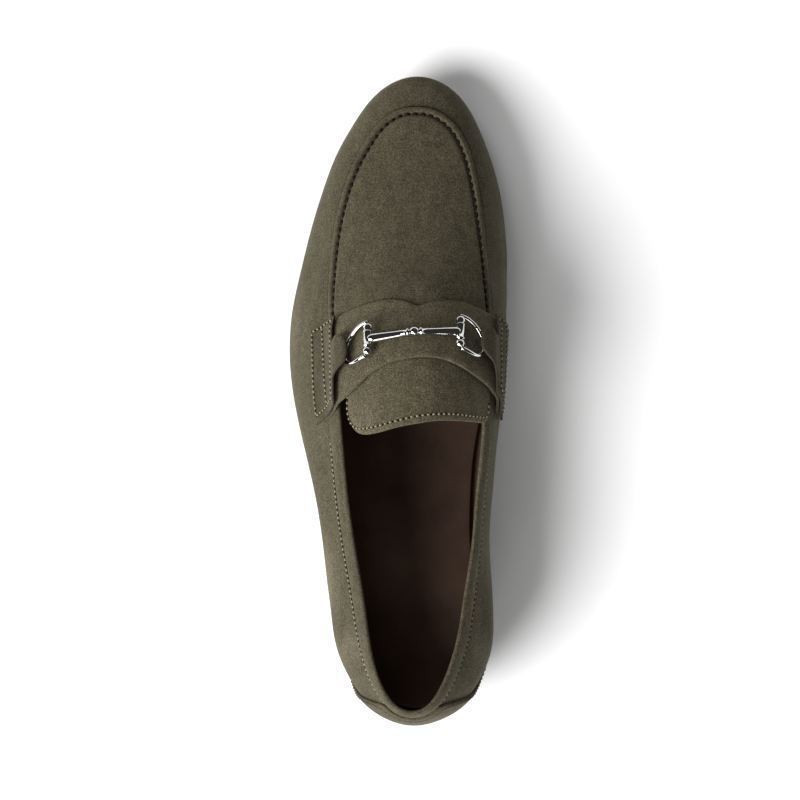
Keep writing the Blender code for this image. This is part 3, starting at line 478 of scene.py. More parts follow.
def readRing(knots):
    step = 0.0005
    x = readSpline("side", knots) * shoe["ballWidth"]
    y = readSpline("along", knots) * shoe["length"]
    runX = (readSpline("side", knots + step) - readSpline("side", knots - step)) * shoe["ballWidth"]
    runY = (readSpline("along", knots + step) - readSpline("along", knots - step)) * shoe["length"]
    size = np.hypot(runX, runY)
    along = y / shoe["length"]
    seat = featherHeight(along)
    topAlong = readSpline("topAlong", knots)
    topZ = featherHeight(topAlong) + readSpline("rise", knots) * localHeight(topAlong)
    top = np.stack([readSpline("topSide", knots) * shoe["ballWidth"],
                    topAlong * shoe["length"], topZ], axis=-1)
    widest = np.stack([x, y, seat + readSpline("bulge", knots) * localHeight(along)], axis=-1)
    return {"widest": widest, "outward": np.stack([-runY / size, runX / size], axis=-1),
            "tuck": readSpline("tuck", knots) * shoe["ballWidth"], "seat": seat, "top": top,
            "lean": readSpline("lean", knots),
            "crown": readSpline("crown", knots) * shoe["instepCrown"],
            "reach": np.linalg.norm(top - widest, axis=1)}


def wallCurve(ring, share):
    # from the widest line at share 0 to the top line at share 1
    share = np.broadcast_to(share, ring["reach"].shape)[:, None]
    start = ring["widest"]
    end = ring["top"]
    tangent = np.concatenate([-ring["outward"], ring["lean"][:, None]], axis=1)
    tangent = tangent / np.linalg.norm(tangent, axis=1)[:, None]
    first = start + np.array([0.0, 0.0, 1.0]) * (0.42 * (end[:, 2] - start[:, 2]))[:, None]
    second = end - tangent * (0.36 * ring["reach"])[:, None]
    rest = 1.0 - share
    return (rest ** 3 * start + 3 * rest ** 2 * share * first
            + 3 * rest * share ** 2 * second + share ** 3 * end)


def sideProfile(ring, level, margin=0.008):
    # level -1 is the lasting margin's edge, 0 the feather line, 1 the widest line, 2 the top
    flat = np.concatenate([ring["outward"], np.zeros((len(ring["seat"]), 1))], axis=1)
    if level <= 0.0:
        point = ring["widest"] - flat * (ring["tuck"] - margin * level)[:, None]
        point[:, 2] = featherHeight(point[:, 1] / shoe["length"])
        return point
    if level <= 1.0:
        angle = level * math.pi / 2
        point = ring["widest"] - flat * (ring["tuck"] * (1.0 - math.sin(angle)))[:, None]
        seat = featherHeight(point[:, 1] / shoe["length"])
        point[:, 2] = seat + (ring["widest"][:, 2] - seat) * (1.0 - math.cos(angle))
        return point
    return wallCurve(ring, level - 1.0)


def rowPlaces(spacing):
    # places in rows, spaced evenly along the shoe's outline
    places = []
    for row in range(toeRow):
        steps = max(2, round((rowKnots[row + 1] - rowKnots[row]) / spacing))
        places += [row + step / steps for step in range(steps)]
    return np.array(places + [float(toeRow)])


def outlineKnots(spacing):
    # knots all round the outline, the places in rows they belong to and the toe's number
    places = rowPlaces(spacing)
    knots = np.concatenate([knotOf(places, -1), knotOf(places[1:-1], 1)[::-1]])
    return knots, places, len(places) - 1


def crownPatch(ring, count, half, rows, columns, topIndex, points):
    # rows of points between the two top lines, arched over the foot
    grid = []
    for step in rows:
        lateral = points[topIndex + step]
        medial = points[topIndex + count - step]
        line = [topIndex + step]
        for column in range(1, columns):
            share = (1.0 - math.cos(math.pi * column / columns)) / 2.0
            point = lateral + (medial - lateral) * share
            point[2] += ring["crown"][step] * (1.0 - abs(2.0 * share - 1.0) ** 2.25)
            line.append(len(points))
            points.append(point)
        line.append(topIndex + count - step)
        grid.append(line)
    faces = []
    for before, after in zip(grid, grid[1:]):
        faces += gridFaces(before, after)
    for column in range(columns):
        faces.append((grid[-1][column], topIndex + half, grid[-1][column + 1]))
    return grid, faces


def upperSheet(spacing, columns, firstRow, layersOf):
    knots, places, half = outlineKnots(spacing)
    ring = readRing(knots)
    count = len(knots)
    layers = layersOf(ring)
    points = [point for layer in layers for point in layer]
    faces = []
    for layer in range(len(layers) - 1):
        faces += layerFaces(layer * count, count)
    top = (len(layers) - 1) * count
    first = int(np.argmin(np.abs(places - firstRow)))
    wallFaces = len(faces)
    grid, patch = crownPatch(ring, count, half, range(first, half), columns, top, points)
    return {"points": np.array(points), "faces": faces + patch, "count": count, "half": half,
            "top": top, "first": first, "grid": grid, "wallFaces": wallFaces}


def sheetNormals(points, faces, outerPoint):
    # outerPoint is the number of a point whose outer side faces away from the shoe's middle
    corners = np.array([face if len(face) == 4 else (*face, face[0]) for face in faces])
    a, b, c, d = (points[corners[:, place]] for place in range(4))
    facing = np.cross(c - a, d - b)
    facing[:] = np.where(np.linalg.norm(facing, axis=1)[:, None] > 1e-14, facing, 0.0)
    normals = np.zeros_like(points)
    for place in range(4):
        np.add.at(normals, corners[:, place], facing)
    size = np.linalg.norm(normals, axis=1)[:, None]
    normals = normals / np.maximum(size, 1e-15)
    outside = points[outerPoint] - points.mean(axis=0)
    return -normals if normals[outerPoint].dot(outside) < 0.0 else normals


# The upper: one shell, with the sewn apron seam, the rolled collar and soft creases

upperLook = {
    "wall": 0.0020,
    "seamWidth": 0.0035,
    "seamRaise": 0.0012,
    "grooveDepth": 0.0006,
    "grooveWidth": 0.0007,
    "rollWidth": 0.0080,
    "rollRaise": 0.0009,
    "rollGroove": 0.00035,
    "folded": 0.004,        # how far the suede turns over the collar on to the lining
    "spacing": 0.0012,
    "columns": 56,
    "throatRow": 10.5,
    "seamStart": (0.600, 0.655),    # the seam comes up between these places along the shoe
    "stitchStart": 0.622,
    "seamToe": (0.66, 0.90),        # and gets crisper and higher between these
    "collarEnd": (0.44, 0.50),
    "crisp": (0.0004, 0.0014),
    "ribRise": 0.0011,
    "ribDome": 0.30,
    "rearShare": 0.55,
    "apronEdge": (0.0003, 0.0022),
    "apronLift": 0.00035,
    "lineGap": 0.0002,
    "lineWidth": 0.00035,
    "lineDepth": 0.00025,
    "rollPower": 0.8,
    "dipWidth": 0.0008,
    "creaseFloor": 0.004,
    # how strongly painted shade darkens the seam groove and the thin line outside the rib
    "grooveShadeStrength": 0.26,
    "lineShadeStrength": 0.78,
    "turnedEnd": 0.17,
    "rimSteps": 7,
}

# Soft troughs and ridges pressed by wear and lasting: centre across and along in
# shares of the ball width and the length, the way they run in degrees from +X, half length
# and half width in metres, and depth, negative for a ridge
creases = (
    (-0.20, 0.690, 12.0, 0.016, 0.0045, 0.00040),
    (0.16, 0.684, -10.0, 0.015, 0.0045, 0.00045),
    (-0.02, 0.715, 3.0, 0.022, 0.0060, 0.00025),
    (-0.46, 0.700, 62.0, 0.012, 0.0040, 0.00045),
    (0.38, 0.705, -66.0, 0.014, 0.0040, 0.00050),
    (0.39, 0.660, -80.0, 0.012, 0.0035, 0.00045),
    (-0.50, 0.645, 78.0, 0.012, 0.0040, 0.00040),
    (-0.40, 0.330, 96.0, 0.020, 0.0050, 0.00055),
    (-0.36, 0.200, 84.0, 0.018, 0.0050, 0.00045),
    (0.34, 0.300, 88.0, 0.022, 0.0050, 0.00050),
    (0.33, 0.160, 80.0, 0.016, 0.0050, 0.00045),
    (0.02, 0.800, 0.0, 0.020, 0.0120, -0.00025),
)

# Where the nap is made paler, partly rubbed wear and partly a painted highlight: the first spot, on the
# outer rear quarter, stands in for light grazing it. Centre and half size across and along, in the same
# shares, strength
wearAndHighlightSpots = (
    (-0.40, 0.230, 0.060, 0.055, 0.80),
    (-0.30, 0.125, 0.050, 0.028, 0.45),
    (0.31, 0.125, 0.045, 0.026, 0.60),
    (0.36, 0.260, 0.040, 0.050, 0.30),
    (-0.56, 0.600, 0.050, 0.060, 0.25),
)

collarDrops = (0.0003, 0.0006, 0.0009, 0.0013, 0.0018, 0.0023, 0.0027, 0.0030, 0.0033,
               0.0036, 0.0040, 0.0045, 0.0050, 0.0056, 0.0062, 0.0068, 0.0073, 0.0077, 0.0080,
               0.0083, 0.0087, 0.0092, 0.0100)


def upperLayers(ring):
    layers = [sideProfile(ring, level) for level in (-1.0, -0.5, 0.0, 0.16, 0.32, 0.5, 0.66, 0.82)]
    deepest = 1.0 - collarDrops[-1] / ring["reach"]
    for step in range(16):
        layers.append(wallCurve(ring, deepest * (step / 16)))
    for drop in reversed(collarDrops):
        layers.append(wallCurve(ring, 1.0 - drop / ring["reach"]))
    layers.append(wallCurve(ring, 1.0))
    return layers


def creaseDepth(points):
    depth = np.zeros(len(points))
    for across, along, angle, halfLength, halfWidth, deep in creases:
        run = math.radians(angle)
        dx = points[:, 0] - across * shoe["ballWidth"]
        dy = points[:, 1] - along * shoe["length"]
        lengthwise = (dx * math.cos(run) + dy * math.sin(run)) / halfLength
        bend = 0.12 * halfLength * lengthwise ** 2
        sideways = (-dx * math.sin(run) + dy * math.cos(run) - bend) / halfWidth
        depth += deep * np.exp(-lengthwise ** 2 - sideways ** 2)
    return depth


def wearAndHighlightShare(points):
    share = np.zeros(len(points))
    for across, along, halfAcross, halfAlong, strength in wearAndHighlightSpots:
        dx = (points[:, 0] / shoe["ballWidth"] - across) / halfAcross
        dy = (points[:, 1] / shoe["length"] - along) / halfAlong
        share = np.maximum(share, strength * np.exp(-dx ** 2 - dy ** 2))
    return share


def buildUpper():
    look = upperLook
    sheet = upperSheet(look["spacing"], look["columns"], look["throatRow"], upperLayers)
    base = sheet["points"]
    count = sheet["count"]
    outerPoint = sheet["half"] + count * 8
    normals = sheetNormals(base, sheet["faces"], outerPoint)
    # how far each point lies from the top line, and whether it lies on the wall or the apron
    topLine = base[sheet["top"]:sheet["top"] + count]
    tree = KDTree(2 * count)
    for place in range(count):
        after = topLine[(place + 1) % count]
        tree.insert(topLine[place], 2 * place)
        tree.insert((topLine[place] + after) / 2, 2 * place + 1)
    tree.balance()
    gap = np.array([tree.find(point)[2] for point in base])
    onWall = np.arange(len(base)) < sheet["top"] + count
    along = base[:, 1] / shoe["length"]
    front = smoothStep(along, *look["seamStart"])
    toeward = smoothStep(along, *look["seamToe"])
    collar = 1.0 - smoothStep(along, *look["collarEnd"])
    strength = look["rearShare"] + (1.0 - look["rearShare"]) * toeward
    width = look["seamWidth"]
    crisp = look["crisp"][0] + look["crisp"][1] * (1.0 - toeward)
    rib = smoothStep(gap, 0.0, look["ribRise"])
    rib = rib * (1.0 - smoothStep(gap, width - crisp, width + 0.4 * crisp))
    dome = 1.0 - look["ribDome"] * (2.0 * gap / width - 1.0) ** 2
    raised = np.where(onWall, look["seamRaise"] * rib * dome * strength, 0.0) * front
    apronLift = np.where(onWall, 0.0, smoothStep(gap, *look["apronEdge"]) * look["apronLift"]) * front
    grooveAndPaintedShade = np.exp(-(gap / look["grooveWidth"]) ** 2) * front
    outerLine = np.exp(-((gap - width - look["lineGap"]) / look["lineWidth"]) ** 2)
    outerLine = outerLine * onWall * front * strength
    rollShare = np.clip(gap / look["rollWidth"], 0.0, 1.0)
    roll = look["rollRaise"] * np.sin(math.pi * rollShare) ** look["rollPower"] * onWall * collar
    dip = np.exp(-((gap - look["rollWidth"]) / look["dipWidth"]) ** 2) * onWall * collar
    height = raised + apronLift + roll - look["rollGroove"] * dip
    height = height - look["grooveDepth"] * grooveAndPaintedShade - look["lineDepth"] * outerLine
    height -= creaseDepth(base) * (base[:, 2] > featherHeight(along) + look["creaseFloor"])
    outer = base + normals * height[:, None]
    inner = base - normals * look["wall"]
    inner[:count] = base[:count] + np.array([0.0, 0.0, look["wall"]])
    shift = len(base)
    points = list(outer) + list(inner)
    faces = [tuple(face) for face in sheet["faces"]]
    marks = [0] * len(faces)
    foldedLayers = sum(1 for drop in collarDrops if drop < look["folded"])
    turned = sheet["wallFaces"] - foldedLayers * count
    for number, face in enumerate(sheet["faces"]):
        faces.append(tuple(corner + shift for corner in reversed(face)))
        overCollar = turned <= number < sheet["wallFaces"] and base[face[0]][1] < look["turnedEnd"]
        marks.append(0 if overCollar else 1)
    rim = [sheet["top"] + step for step in range(sheet["first"] + 1)]
    rim += sheet["grid"][0][1:-1]
    rim += [sheet["top"] + count - step for step in range(sheet["first"], 0, -1)]
    rings = [rim]
    for step in range(1, look["rimSteps"]):
        angle = math.pi * step / look["rimSteps"]
        line = []
        for place in rim:
            middle = (outer[place] + inner[place]) / 2
            half = (outer[place] - inner[place]) / 2
            if place >= sheet["top"] + count:
                up = np.array([0.0, -1.0, 0.0])
            else:
                up = base[place] - base[place - count]
                up = up / np.linalg.norm(up)
            line.append(len(points))
            points.append(middle + half * math.cos(angle) + up * np.linalg.norm(half) * math.sin(angle))
        rings.append(line)
    rings.append([place + shift for place in rim])
    for low, high in zip(rings, rings[1:]):
        faces += bandFaces(low, high)
        marks += [0] * len(rim)
    faces += bandFaces(range(count), range(shift, shift + count))
    marks += [1] * count
    # painted shade: the seam groove and the line outside the rib are darkened in colour
    dark = np.clip(look["grooveShadeStrength"] * grooveAndPaintedShade + look["lineShadeStrength"] * outerLine, 0.0, 1.0)
    inside = np.zeros(len(points) - shift)
    fields = {"grooveAndPaintedShade": np.concatenate([dark, inside]),
              "wearAndPaintedHighlight": np.concatenate([wearAndHighlightShare(base), inside])}
    addPiece("upper_suede", points, faces, (suede, lining), "upper", marks, fields)
    print("upper:", len(faces), "faces")
    return sheet, outer, normals


upperGrid, upperOuter, upperNormals = buildUpper()


# The smooth skin that laid pieces follow, measured round the girth from the long axis

skinLook = {"start": 0.40, "end": 0.70, "sections": 91, "sweep": 104, "axis": 0.60, "coverRow": 6.0,
            "reach": 0.084, "step": 0.0005}


def skinLayers(ring):
    layers = [sideProfile(ring, level) for level in (0.1, 0.4, 0.8)]
    layers += [sideProfile(ring, 1.0 + step * 0.05) for step in range(21)]
    return layers


def measureSkin():
    sheet = upperSheet(0.0028, 64, skinLook["coverRow"], skinLayers)
    points = sheet["points"]
    normals = sheetNormals(points, sheet["faces"], sheet["half"] + sheet["count"] * 3)
    triangles = []
    for face in sheet["faces"]:
        for corner in range(1, len(face) - 1):
            triangles.append((face[0], face[corner], face[corner + 1]))
    tree = BVHTree.FromPolygons([tuple(point) for point in points], triangles)
    reach = np.arange(-skinLook["reach"], skinLook["reach"] + 1e-9, skinLook["step"])
    stations = np.linspace(skinLook["start"], skinLook["end"], skinLook["sections"]) * shoe["length"]
    angles = np.radians(np.linspace(-skinLook["sweep"], skinLook["sweep"], 2 * skinLook["sweep"] + 1))
    height = skinLook["axis"] * shoe["collarHeight"]
    table = np.zeros((len(stations), len(reach), 6))
    for number, station in enumerate(stations):
        rows = []
        for angle in angles:
            run = Vector((math.sin(angle), 0.0, math.cos(angle)))
            hit, _, index, _ = tree.ray_cast(Vector((0.0, station, height)), run)
            hit = np.array(hit)
            corners = triangles[index]
            a, b, c = (points[corner] for corner in corners)
            shares = np.array([np.linalg.norm(np.cross(b - hit, c - hit)),
                               np.linalg.norm(np.cross(c - hit, a - hit)),
                               np.linalg.norm(np.cross(a - hit, b - hit))])
            normal = (shares / shares.sum()) @ normals[list(corners)]
            rows.append(np.concatenate([hit, normal]))
        rows = np.array(rows)
        girth = np.concatenate([[0.0], np.cumsum(np.linalg.norm(np.diff(rows[:, :3], axis=0), axis=1))])
        girth -= girth[skinLook["sweep"]]
        for column in range(6):
            table[number, :, column] = np.interp(reach, girth, rows[:, column])
    blur = np.array([0.25, 0.5, 0.25])
    for _ in range(3):
        inner = sum(weight * table[:, place:len(reach) - 2 + place] for place, weight in enumerate(blur))
        table[:, 1:-1] = inner
    return stations, reach, table


stations, girths, skinTable = measureSkin()
print("skin measured")


def onSkin(girth, y):
    # the skin's point and normal at a distance round the girth and along the shoe
    girth = np.atleast_1d(np.asarray(girth, dtype=float))
    y = np.atleast_1d(np.asarray(y, dtype=float))
    row = np.clip((y - stations[0]) / (stations[1] - stations[0]), 0.0, len(stations) - 1.001)
    column = np.clip((girth - girths[0]) / skinLook["step"], 0.0, len(girths) - 1.001)
    low = row.astype(int)
    left = column.astype(int)
    up = (row - low)[:, None]
    over = (column - left)[:, None]
    found = ((1 - up) * ((1 - over) * skinTable[low, left] + over * skinTable[low, left + 1])
             + up * ((1 - over) * skinTable[low + 1, left] + over * skinTable[low + 1, left + 1]))
    normal = found[:, 3:]
    return found[:, :3], normal / np.linalg.norm(normal, axis=1)[:, None]


def overSkin(girth, y, height):
    ground, normal = onSkin(girth, y)
    return ground + normal * np.asarray(height).reshape(-1, 1)


# Outlines of the laid pieces, as smooth stretches that meet at their corners: the distance
# round the girth as a share of the ball width (negative outward), and a share of the length

strapFront = (
    (-.580, 0.604), (-.372, 0.624), (-.299, 0.633), (-.217, 0.641), (-.146, 0.646), (-.092, 0.648),
    (-.034, 0.646), (0.001, 0.641), (0.029, 0.638), (0.057, 0.641), (0.086, 0.644), (0.144, 0.647),
    (0.205, 0.646), (0.274, 0.641), (0.376, 0.630), (0.398, 0.627), (0.535, 0.612),
)
strapRear = (
    (0.580, 0.470), (0.495, 0.492), (0.408, 0.511), (0.368, 0.520), (0.299, 0.531), (0.228, 0.543),
    (0.155, 0.553), (0.101, 0.557), (0.049, 0.558), (-.014, 0.556), (-.078, 0.551), (-.127, 0.543),
    (-.174, 0.533), (-.213, 0.523), (-.257, 0.513), (-.299, 0.505), (-.352, 0.497), (-.606, 0.463),
)
strapStretches = (strapFront, (strapFront[-1], strapRear[0]), strapRear, (strapRear[-1], strapFront[0]))
tongueRear = (
    (-.306, 0.585), (-.318, 0.530), (-.334, 0.500), (-.337, 0.483), (-.318, 0.464), (-.271, 0.452),
    (-.208, 0.449), (-.127, 0.453), (-.045, 0.460), (0.037, 0.465), (0.119, 0.469), (0.217, 0.469),
    (0.347, 0.467), (0.408, 0.466), (0.432, 0.473), (0.436, 0.487), (0.402, 0.530), (0.352, 0.585),
)
tongueStretches = (tongueRear, (tongueRear[-1], tongueRear[0]))
lateralKeeper = (
    ((-.580, 0.604), (-.372, 0.624)),
    ((-.372, 0.624), (-.366, 0.580)),
    ((-.366, 0.580), (-.320, 0.588), (-.283, 0.587), (-.262, 0.576), (-.255, 0.562), (-.262, 0.550)),
    ((-.262, 0.550), (-.343, 0.530)),
    ((-.343, 0.530), (-.352, 0.497)),
    ((-.352, 0.497), (-.606, 0.463)),
    ((-.606, 0.463), (-.580, 0.604)),
)
medialKeeper = (
    ((0.535, 0.612), (0.398, 0.627)),
    ((0.398, 0.627), (0.382, 0.588)),
    ((0.382, 0.588), (0.340, 0.598), (0.304, 0.596), (0.286, 0.583), (0.288, 0.568), (0.312, 0.559)),
    ((0.312, 0.559), (0.360, 0.547), (0.394, 0.532), (0.410, 0.511)),
    ((0.410, 0.511), (0.495, 0.492), (0.580, 0.470)),
    ((0.580, 0.470), (0.535, 0.612)),
)


def inPlan(place):
    return np.array([place[0] * shoe["ballWidth"], place[1] * shoe["length"]])


def smoothStretch(places, spacing):
    # a smooth curve through the places, cut into even steps
    places = [inPlan(place) for place in places]
    if len(places) == 2:
        dense = np.array([places[0] + (places[1] - places[0]) * share for share in np.linspace(0, 1, 20)])
    else:
        ends = [2 * places[0] - places[1]] + places + [2 * places[-1] - places[-2]]
        dense = []
        for a, b, c, d in zip(ends, ends[1:], ends[2:], ends[3:]):
            for share in np.linspace(0.0, 1.0, 12, endpoint=False):
                square = share * share
                cube = square * share
                dense.append(0.5 * (2 * b + (c - a) * share + (2 * a - 5 * b + 4 * c - d) * square
                                    + (3 * b - a - 3 * c + d) * cube))
        dense = np.array(dense + [places[-1]])
    run = np.concatenate([[0.0], np.cumsum(np.linalg.norm(np.diff(dense, axis=0), axis=1))])
    steps = max(1, round(run[-1] / spacing))
    even = np.linspace(0.0, run[-1], steps + 1)
    return np.stack([np.interp(even, run, dense[:, 0]), np.interp(even, run, dense[:, 1])], axis=1)


def closedOutline(stretches, spacing):
    return np.concatenate([smoothStretch(stretch, spacing)[:-1] for stretch in stretches])


def insideOutline(spots, outline):
    inside = np.zeros(len(spots), dtype=bool)
    for start, end in zip(outline, np.roll(outline, -1, axis=0)):
        if start[1] == end[1]:
            continue
        crosses = (start[1] > spots[:, 1]) != (end[1] > spots[:, 1])
        cut = start[0] + (spots[:, 1] - start[1]) / (end[1] - start[1]) * (end[0] - start[0])
        inside ^= crosses & (spots[:, 0] < cut)
    return inside


def outlineGap(spots, outline):
    nearest = np.full(len(spots), 1.0)
    for start, end in zip(outline, np.roll(outline, -1, axis=0)):
        run = end - start
        share = np.clip(((spots - start) @ run) / max(run @ run, 1e-16), 0.0, 1.0)
        nearest = np.minimum(nearest, np.linalg.norm(spots - start - share[:, None] * run, axis=1))
    return nearest


def inwardRuns(outline):
    run = np.roll(outline, -1, axis=0) - np.roll(outline, 1, axis=0)
    run = run / np.linalg.norm(run, axis=1)[:, None]
    inward = np.stack([-run[:, 1], run[:, 0]], axis=1)
    area = np.sum(outline[:, 0] * np.roll(outline[:, 1], -1) - np.roll(outline[:, 0], -1) * outline[:, 1])
    return inward if area > 0.0 else -inward


def fillOutline(outline, spacing, extra):
    low = outline.min(axis=0)
    high = outline.max(axis=0)
    spots = []
    for number, y in enumerate(np.arange(low[1] + spacing / 2, high[1], spacing * 0.87)):
        xs = np.arange(low[0] + spacing * (0.25 + 0.5 * (number % 2)), high[0], spacing)
        spots += [(x, y) for x in xs]
    spots = np.array(spots)
    keep = insideOutline(spots, outline)
    spots = spots[keep]
    spots = spots[outlineGap(spots, outline) > 0.45 * spacing + extra]
    return spots


def laidPiece(node, stretches, low, high, finishes, look):
    # a sheet with a rounded top edge and a sewn double edge, between two heights over the skin
    spacing = look["spacing"]
    outline = closedOutline(stretches, spacing)
    inward = inwardRuns(outline)
    radius = look["edgeRound"]
    rings = [outline + inward * radius * inset for inset in (1.0, 0.45, 0.12)]
    inside = fillOutline(outline, spacing, radius)
    spots = np.concatenate([rings[0], inside])
    count = len(outline)
    edges = [(place, (place + 1) % count) for place in range(count)]
    made = delaunay_2d_cdt([Vector(spot) for spot in spots], edges, [], 1, 1e-7)
    spots = np.array([tuple(spot) for spot in made[0]])
    triangles = [tuple(face) for face in made[2]]
    thickness = high(spots[0, 0], spots[0, 1]) - low(spots[0, 0], spots[0, 1])
    thickness = float(np.atleast_1d(thickness)[0])
    fall = look["puff"] * thickness
    gap = outlineGap(spots, outline)
    crown = fall * smoothStep(gap, 0.0, look["puffWidth"]) - fall
    points = list(overSkin(spots[:, 0], spots[:, 1], high(spots[:, 0], spots[:, 1]) + crown))
    faces = list(triangles)
    marks = [0] * len(faces)
    loop = list(range(count))

    def addRing(spotsRing, share):
        x = spotsRing[:, 0]
        y = spotsRing[:, 1]
        top = high(x, y) - fall
        bottom = low(x, y)
        start = len(points)
        points.extend(overSkin(x, y, bottom + (top - bottom) * share))
        return list(range(start, start + count))

    def bridge(first, second, mark):
        faces.extend(bandFaces(first, second))
        marks.extend([mark] * count)

    sewn = outline + inward * look["sewnDepth"]
    steps = ((rings[1], 0.90, 0), (rings[2], 0.72, 0), (outline, 0.58, 0), (sewn, 0.50, 1),
             (outline, 0.42, 1), (rings[2], 0.12, 1), (rings[1], 0.0, 1))
    for spotsRing, share, mark in steps:
        nextLoop = addRing(spotsRing, share)
        bridge(loop, nextLoop, mark)
        loop = nextLoop
    start = len(points)
    points.extend(overSkin(spots[:, 0], spots[:, 1], low(spots[:, 0], spots[:, 1])))
    faces += [tuple(corner + start for corner in reversed(face)) for face in triangles]
    marks += [1] * len(triangles)
    bridge(loop, [start + place for place in range(count)], 1)
    addPiece(node + "_suede", points, faces, finishes, node, marks)
    print(node + ":", len(faces), "faces")


laidLook = {
    "tongue": {"spacing": 0.0013, "edgeRound": 0.0007, "puff": 0.30, "puffWidth": 0.0030,
               "sewnDepth": 0.0002},
    "strap": {"spacing": 0.0013, "edgeRound": 0.0005, "puff": 0.18, "puffWidth": 0.0018,
              "sewnDepth": 0.0003},
    "keeper": {"spacing": 0.0011, "edgeRound": 0.0005, "puff": 0.18, "puffWidth": 0.0016,
               "sewnDepth": 0.0002},
}
laidSizes = {"tongue": 0.0018, "strap": 0.0015, "keeper": 0.0013}


# Heights of the layers over the skin

def tongueLow(girth, _):
    return np.full(np.shape(girth), shoe["lay"])


def tongueHigh(girth, y):
    return tongueLow(girth, y) + laidSizes["tongue"]


# Where the strap comes down from the tongue to the upper: in front and at its two sides
strapFalls = {"front": (0.596, 0.636), "lateral": (-.490, -.350), "medial": (0.445, 0.555)}


def underStrap(girth, y):
    # 1 where the tongue lies under the strap, 0 clear of it
    rear = 1.0 - smoothStep(y / shoe["length"], *strapFalls["front"])
    left = smoothStep(girth / shoe["ballWidth"], *strapFalls["lateral"])
    right = 1.0 - smoothStep(girth / shoe["ballWidth"], *strapFalls["medial"])
    return rear * left * right


def strapLow(girth, y):
    return shoe["lay"] + underStrap(girth, y) * (laidSizes["tongue"] + 2.0 * shoe["lay"])


def strapHigh(girth, y):
    return strapLow(girth, y) + laidSizes["strap"]


bitLook = {
    "centre": (0.017, 0.588),
    "lateral": {"bar": (-.167, 0.579), "ring": -.288},
    "medial": {"bar": (0.194, 0.590), "ring": 0.318},
    "barHalf": 0.0060,
    "barRadius": 0.0018,
    "ballRadius": 0.0020,
    "ringWire": 0.0018,
    "ringHalf": 0.0074,
    "ringDroop": 0.0055,
    "wideEnd": 0.0022,
    "narrowEnd": 0.0016,
    "linkRadius": 0.0022,
    "lay": 0.0007,
    "clearance": 0.0008,
    "tunnelHalf": 0.0020,
    "tunnelRamp": 0.0095,
    "noseStart": 0.0022,    # from the ring's end to where the fold begins to curl down
    "noseLength": 0.0036,
    "noseDrop": 0.62,
    "nosePower": 2.2,
    "noseClosed": 0.3,
    "ringSteps": 72,
    "ringPower": 0.8,
    "ringMelt": 0.85,       # how far round the ring it has come down to the strap
    "barMelt": 0.85,
    # the half bar's shoulder: place in metres and share of its wide end
    "shoulder": ((0.0, 0.72), (0.0010, 0.92), (0.0020, 1.0), (0.0034, 0.98)),
    # its bead beside the middle ball: place before the end and share of its narrow end
    "bead": ((0.0013, 1.0), (0.0011, 1.25), (0.0005, 1.25), (0.0003, 0.85), (0.0, 0.80)),
}


def foldRise(girth):
    # how far the keeper stands up where its fold holds the ring, rounded at the fold's end
    side = np.where(np.asarray(girth) < 0.0, -bitLook["lateral"]["ring"], bitLook["medial"]["ring"])
    ring = side * shoe["ballWidth"]
    away = np.abs(girth) - ring
    outer = 1.0 - smoothStep(away - bitLook["tunnelHalf"], 0.0, bitLook["tunnelRamp"])
    return outer * (bitLook["lay"] + bitLook["ringWire"] + bitLook["clearance"])


def keeperNose(girth):
    # the last stretch of the fold curls down round the ring
    side = np.where(np.asarray(girth) < 0.0, -bitLook["lateral"]["ring"], bitLook["medial"]["ring"])
    away = side * shoe["ballWidth"] - np.abs(girth)
    share = np.clip((away - bitLook["noseStart"]) / bitLook["noseLength"], 0.0, 1.0)
    return 1.0 - bitLook["noseDrop"] * share ** bitLook["nosePower"]


def keeperHigh(girth, y):
    top = foldRise(girth) + laidSizes["keeper"]
    return strapHigh(girth, y) + shoe["lay"] + top * keeperNose(girth)


def keeperLow(girth, y):
    closed = 1.0 - keeperNose(girth)
    rise = foldRise(girth) * (1.0 - np.clip(closed / bitLook["noseClosed"], 0.0, 1.0))
    return strapHigh(girth, y) + shoe["lay"] + rise


laidPiece("tongue", tongueStretches, tongueLow, tongueHigh, (tongueSuedeLit, lining), laidLook["tongue"])
laidPiece("saddle_strap", strapStretches, strapLow, strapHigh, (strapSuedeLit, edgeSuedeHighlight), laidLook["strap"])
for node, stretches in (("keeper_lateral", lateralKeeper), ("keeper_medial", medialKeeper)):
    laidPiece(node, stretches, keeperLow, keeperHigh, (keeperSuedeShaded, cutEdge), laidLook["keeper"])


# The heel counter, laid round the back of the wall

counterLook = {"rows": 3.5, "fall": 1.5, "low": 0.25, "tip": 0.45, "high": 1.76, "thickness": 0.0012,
               "edgeUp": 0.045, "edgeRound": 0.06, "sewnDown": 0.2, "stitchShare": 0.925,
               "across": 170, "up": 40}


def wallSpot(row, level):
    side = -1 if row < 0 else 1
    ring = readRing(np.array([knotOf(abs(row), side)]))
    return sideProfile(ring, level)[0]


def counterTop(row):
    fall = smoothStep(abs(row), counterLook["fall"], counterLook["rows"])
    return counterLook["high"] + (counterLook["tip"] - counterLook["high"]) * fall


def counterPlace(row, share):
    level = counterLook["low"] + (counterTop(row) - counterLook["low"]) * share
    point = wallSpot(row, level)
    step = 0.02
    roundRun = wallSpot(row + step, level) - wallSpot(row - step, level)
    upRun = wallSpot(row, level + step) - wallSpot(row, level - step)
    normal = np.cross(roundRun, upRun)
    return point, normal / np.linalg.norm(normal)


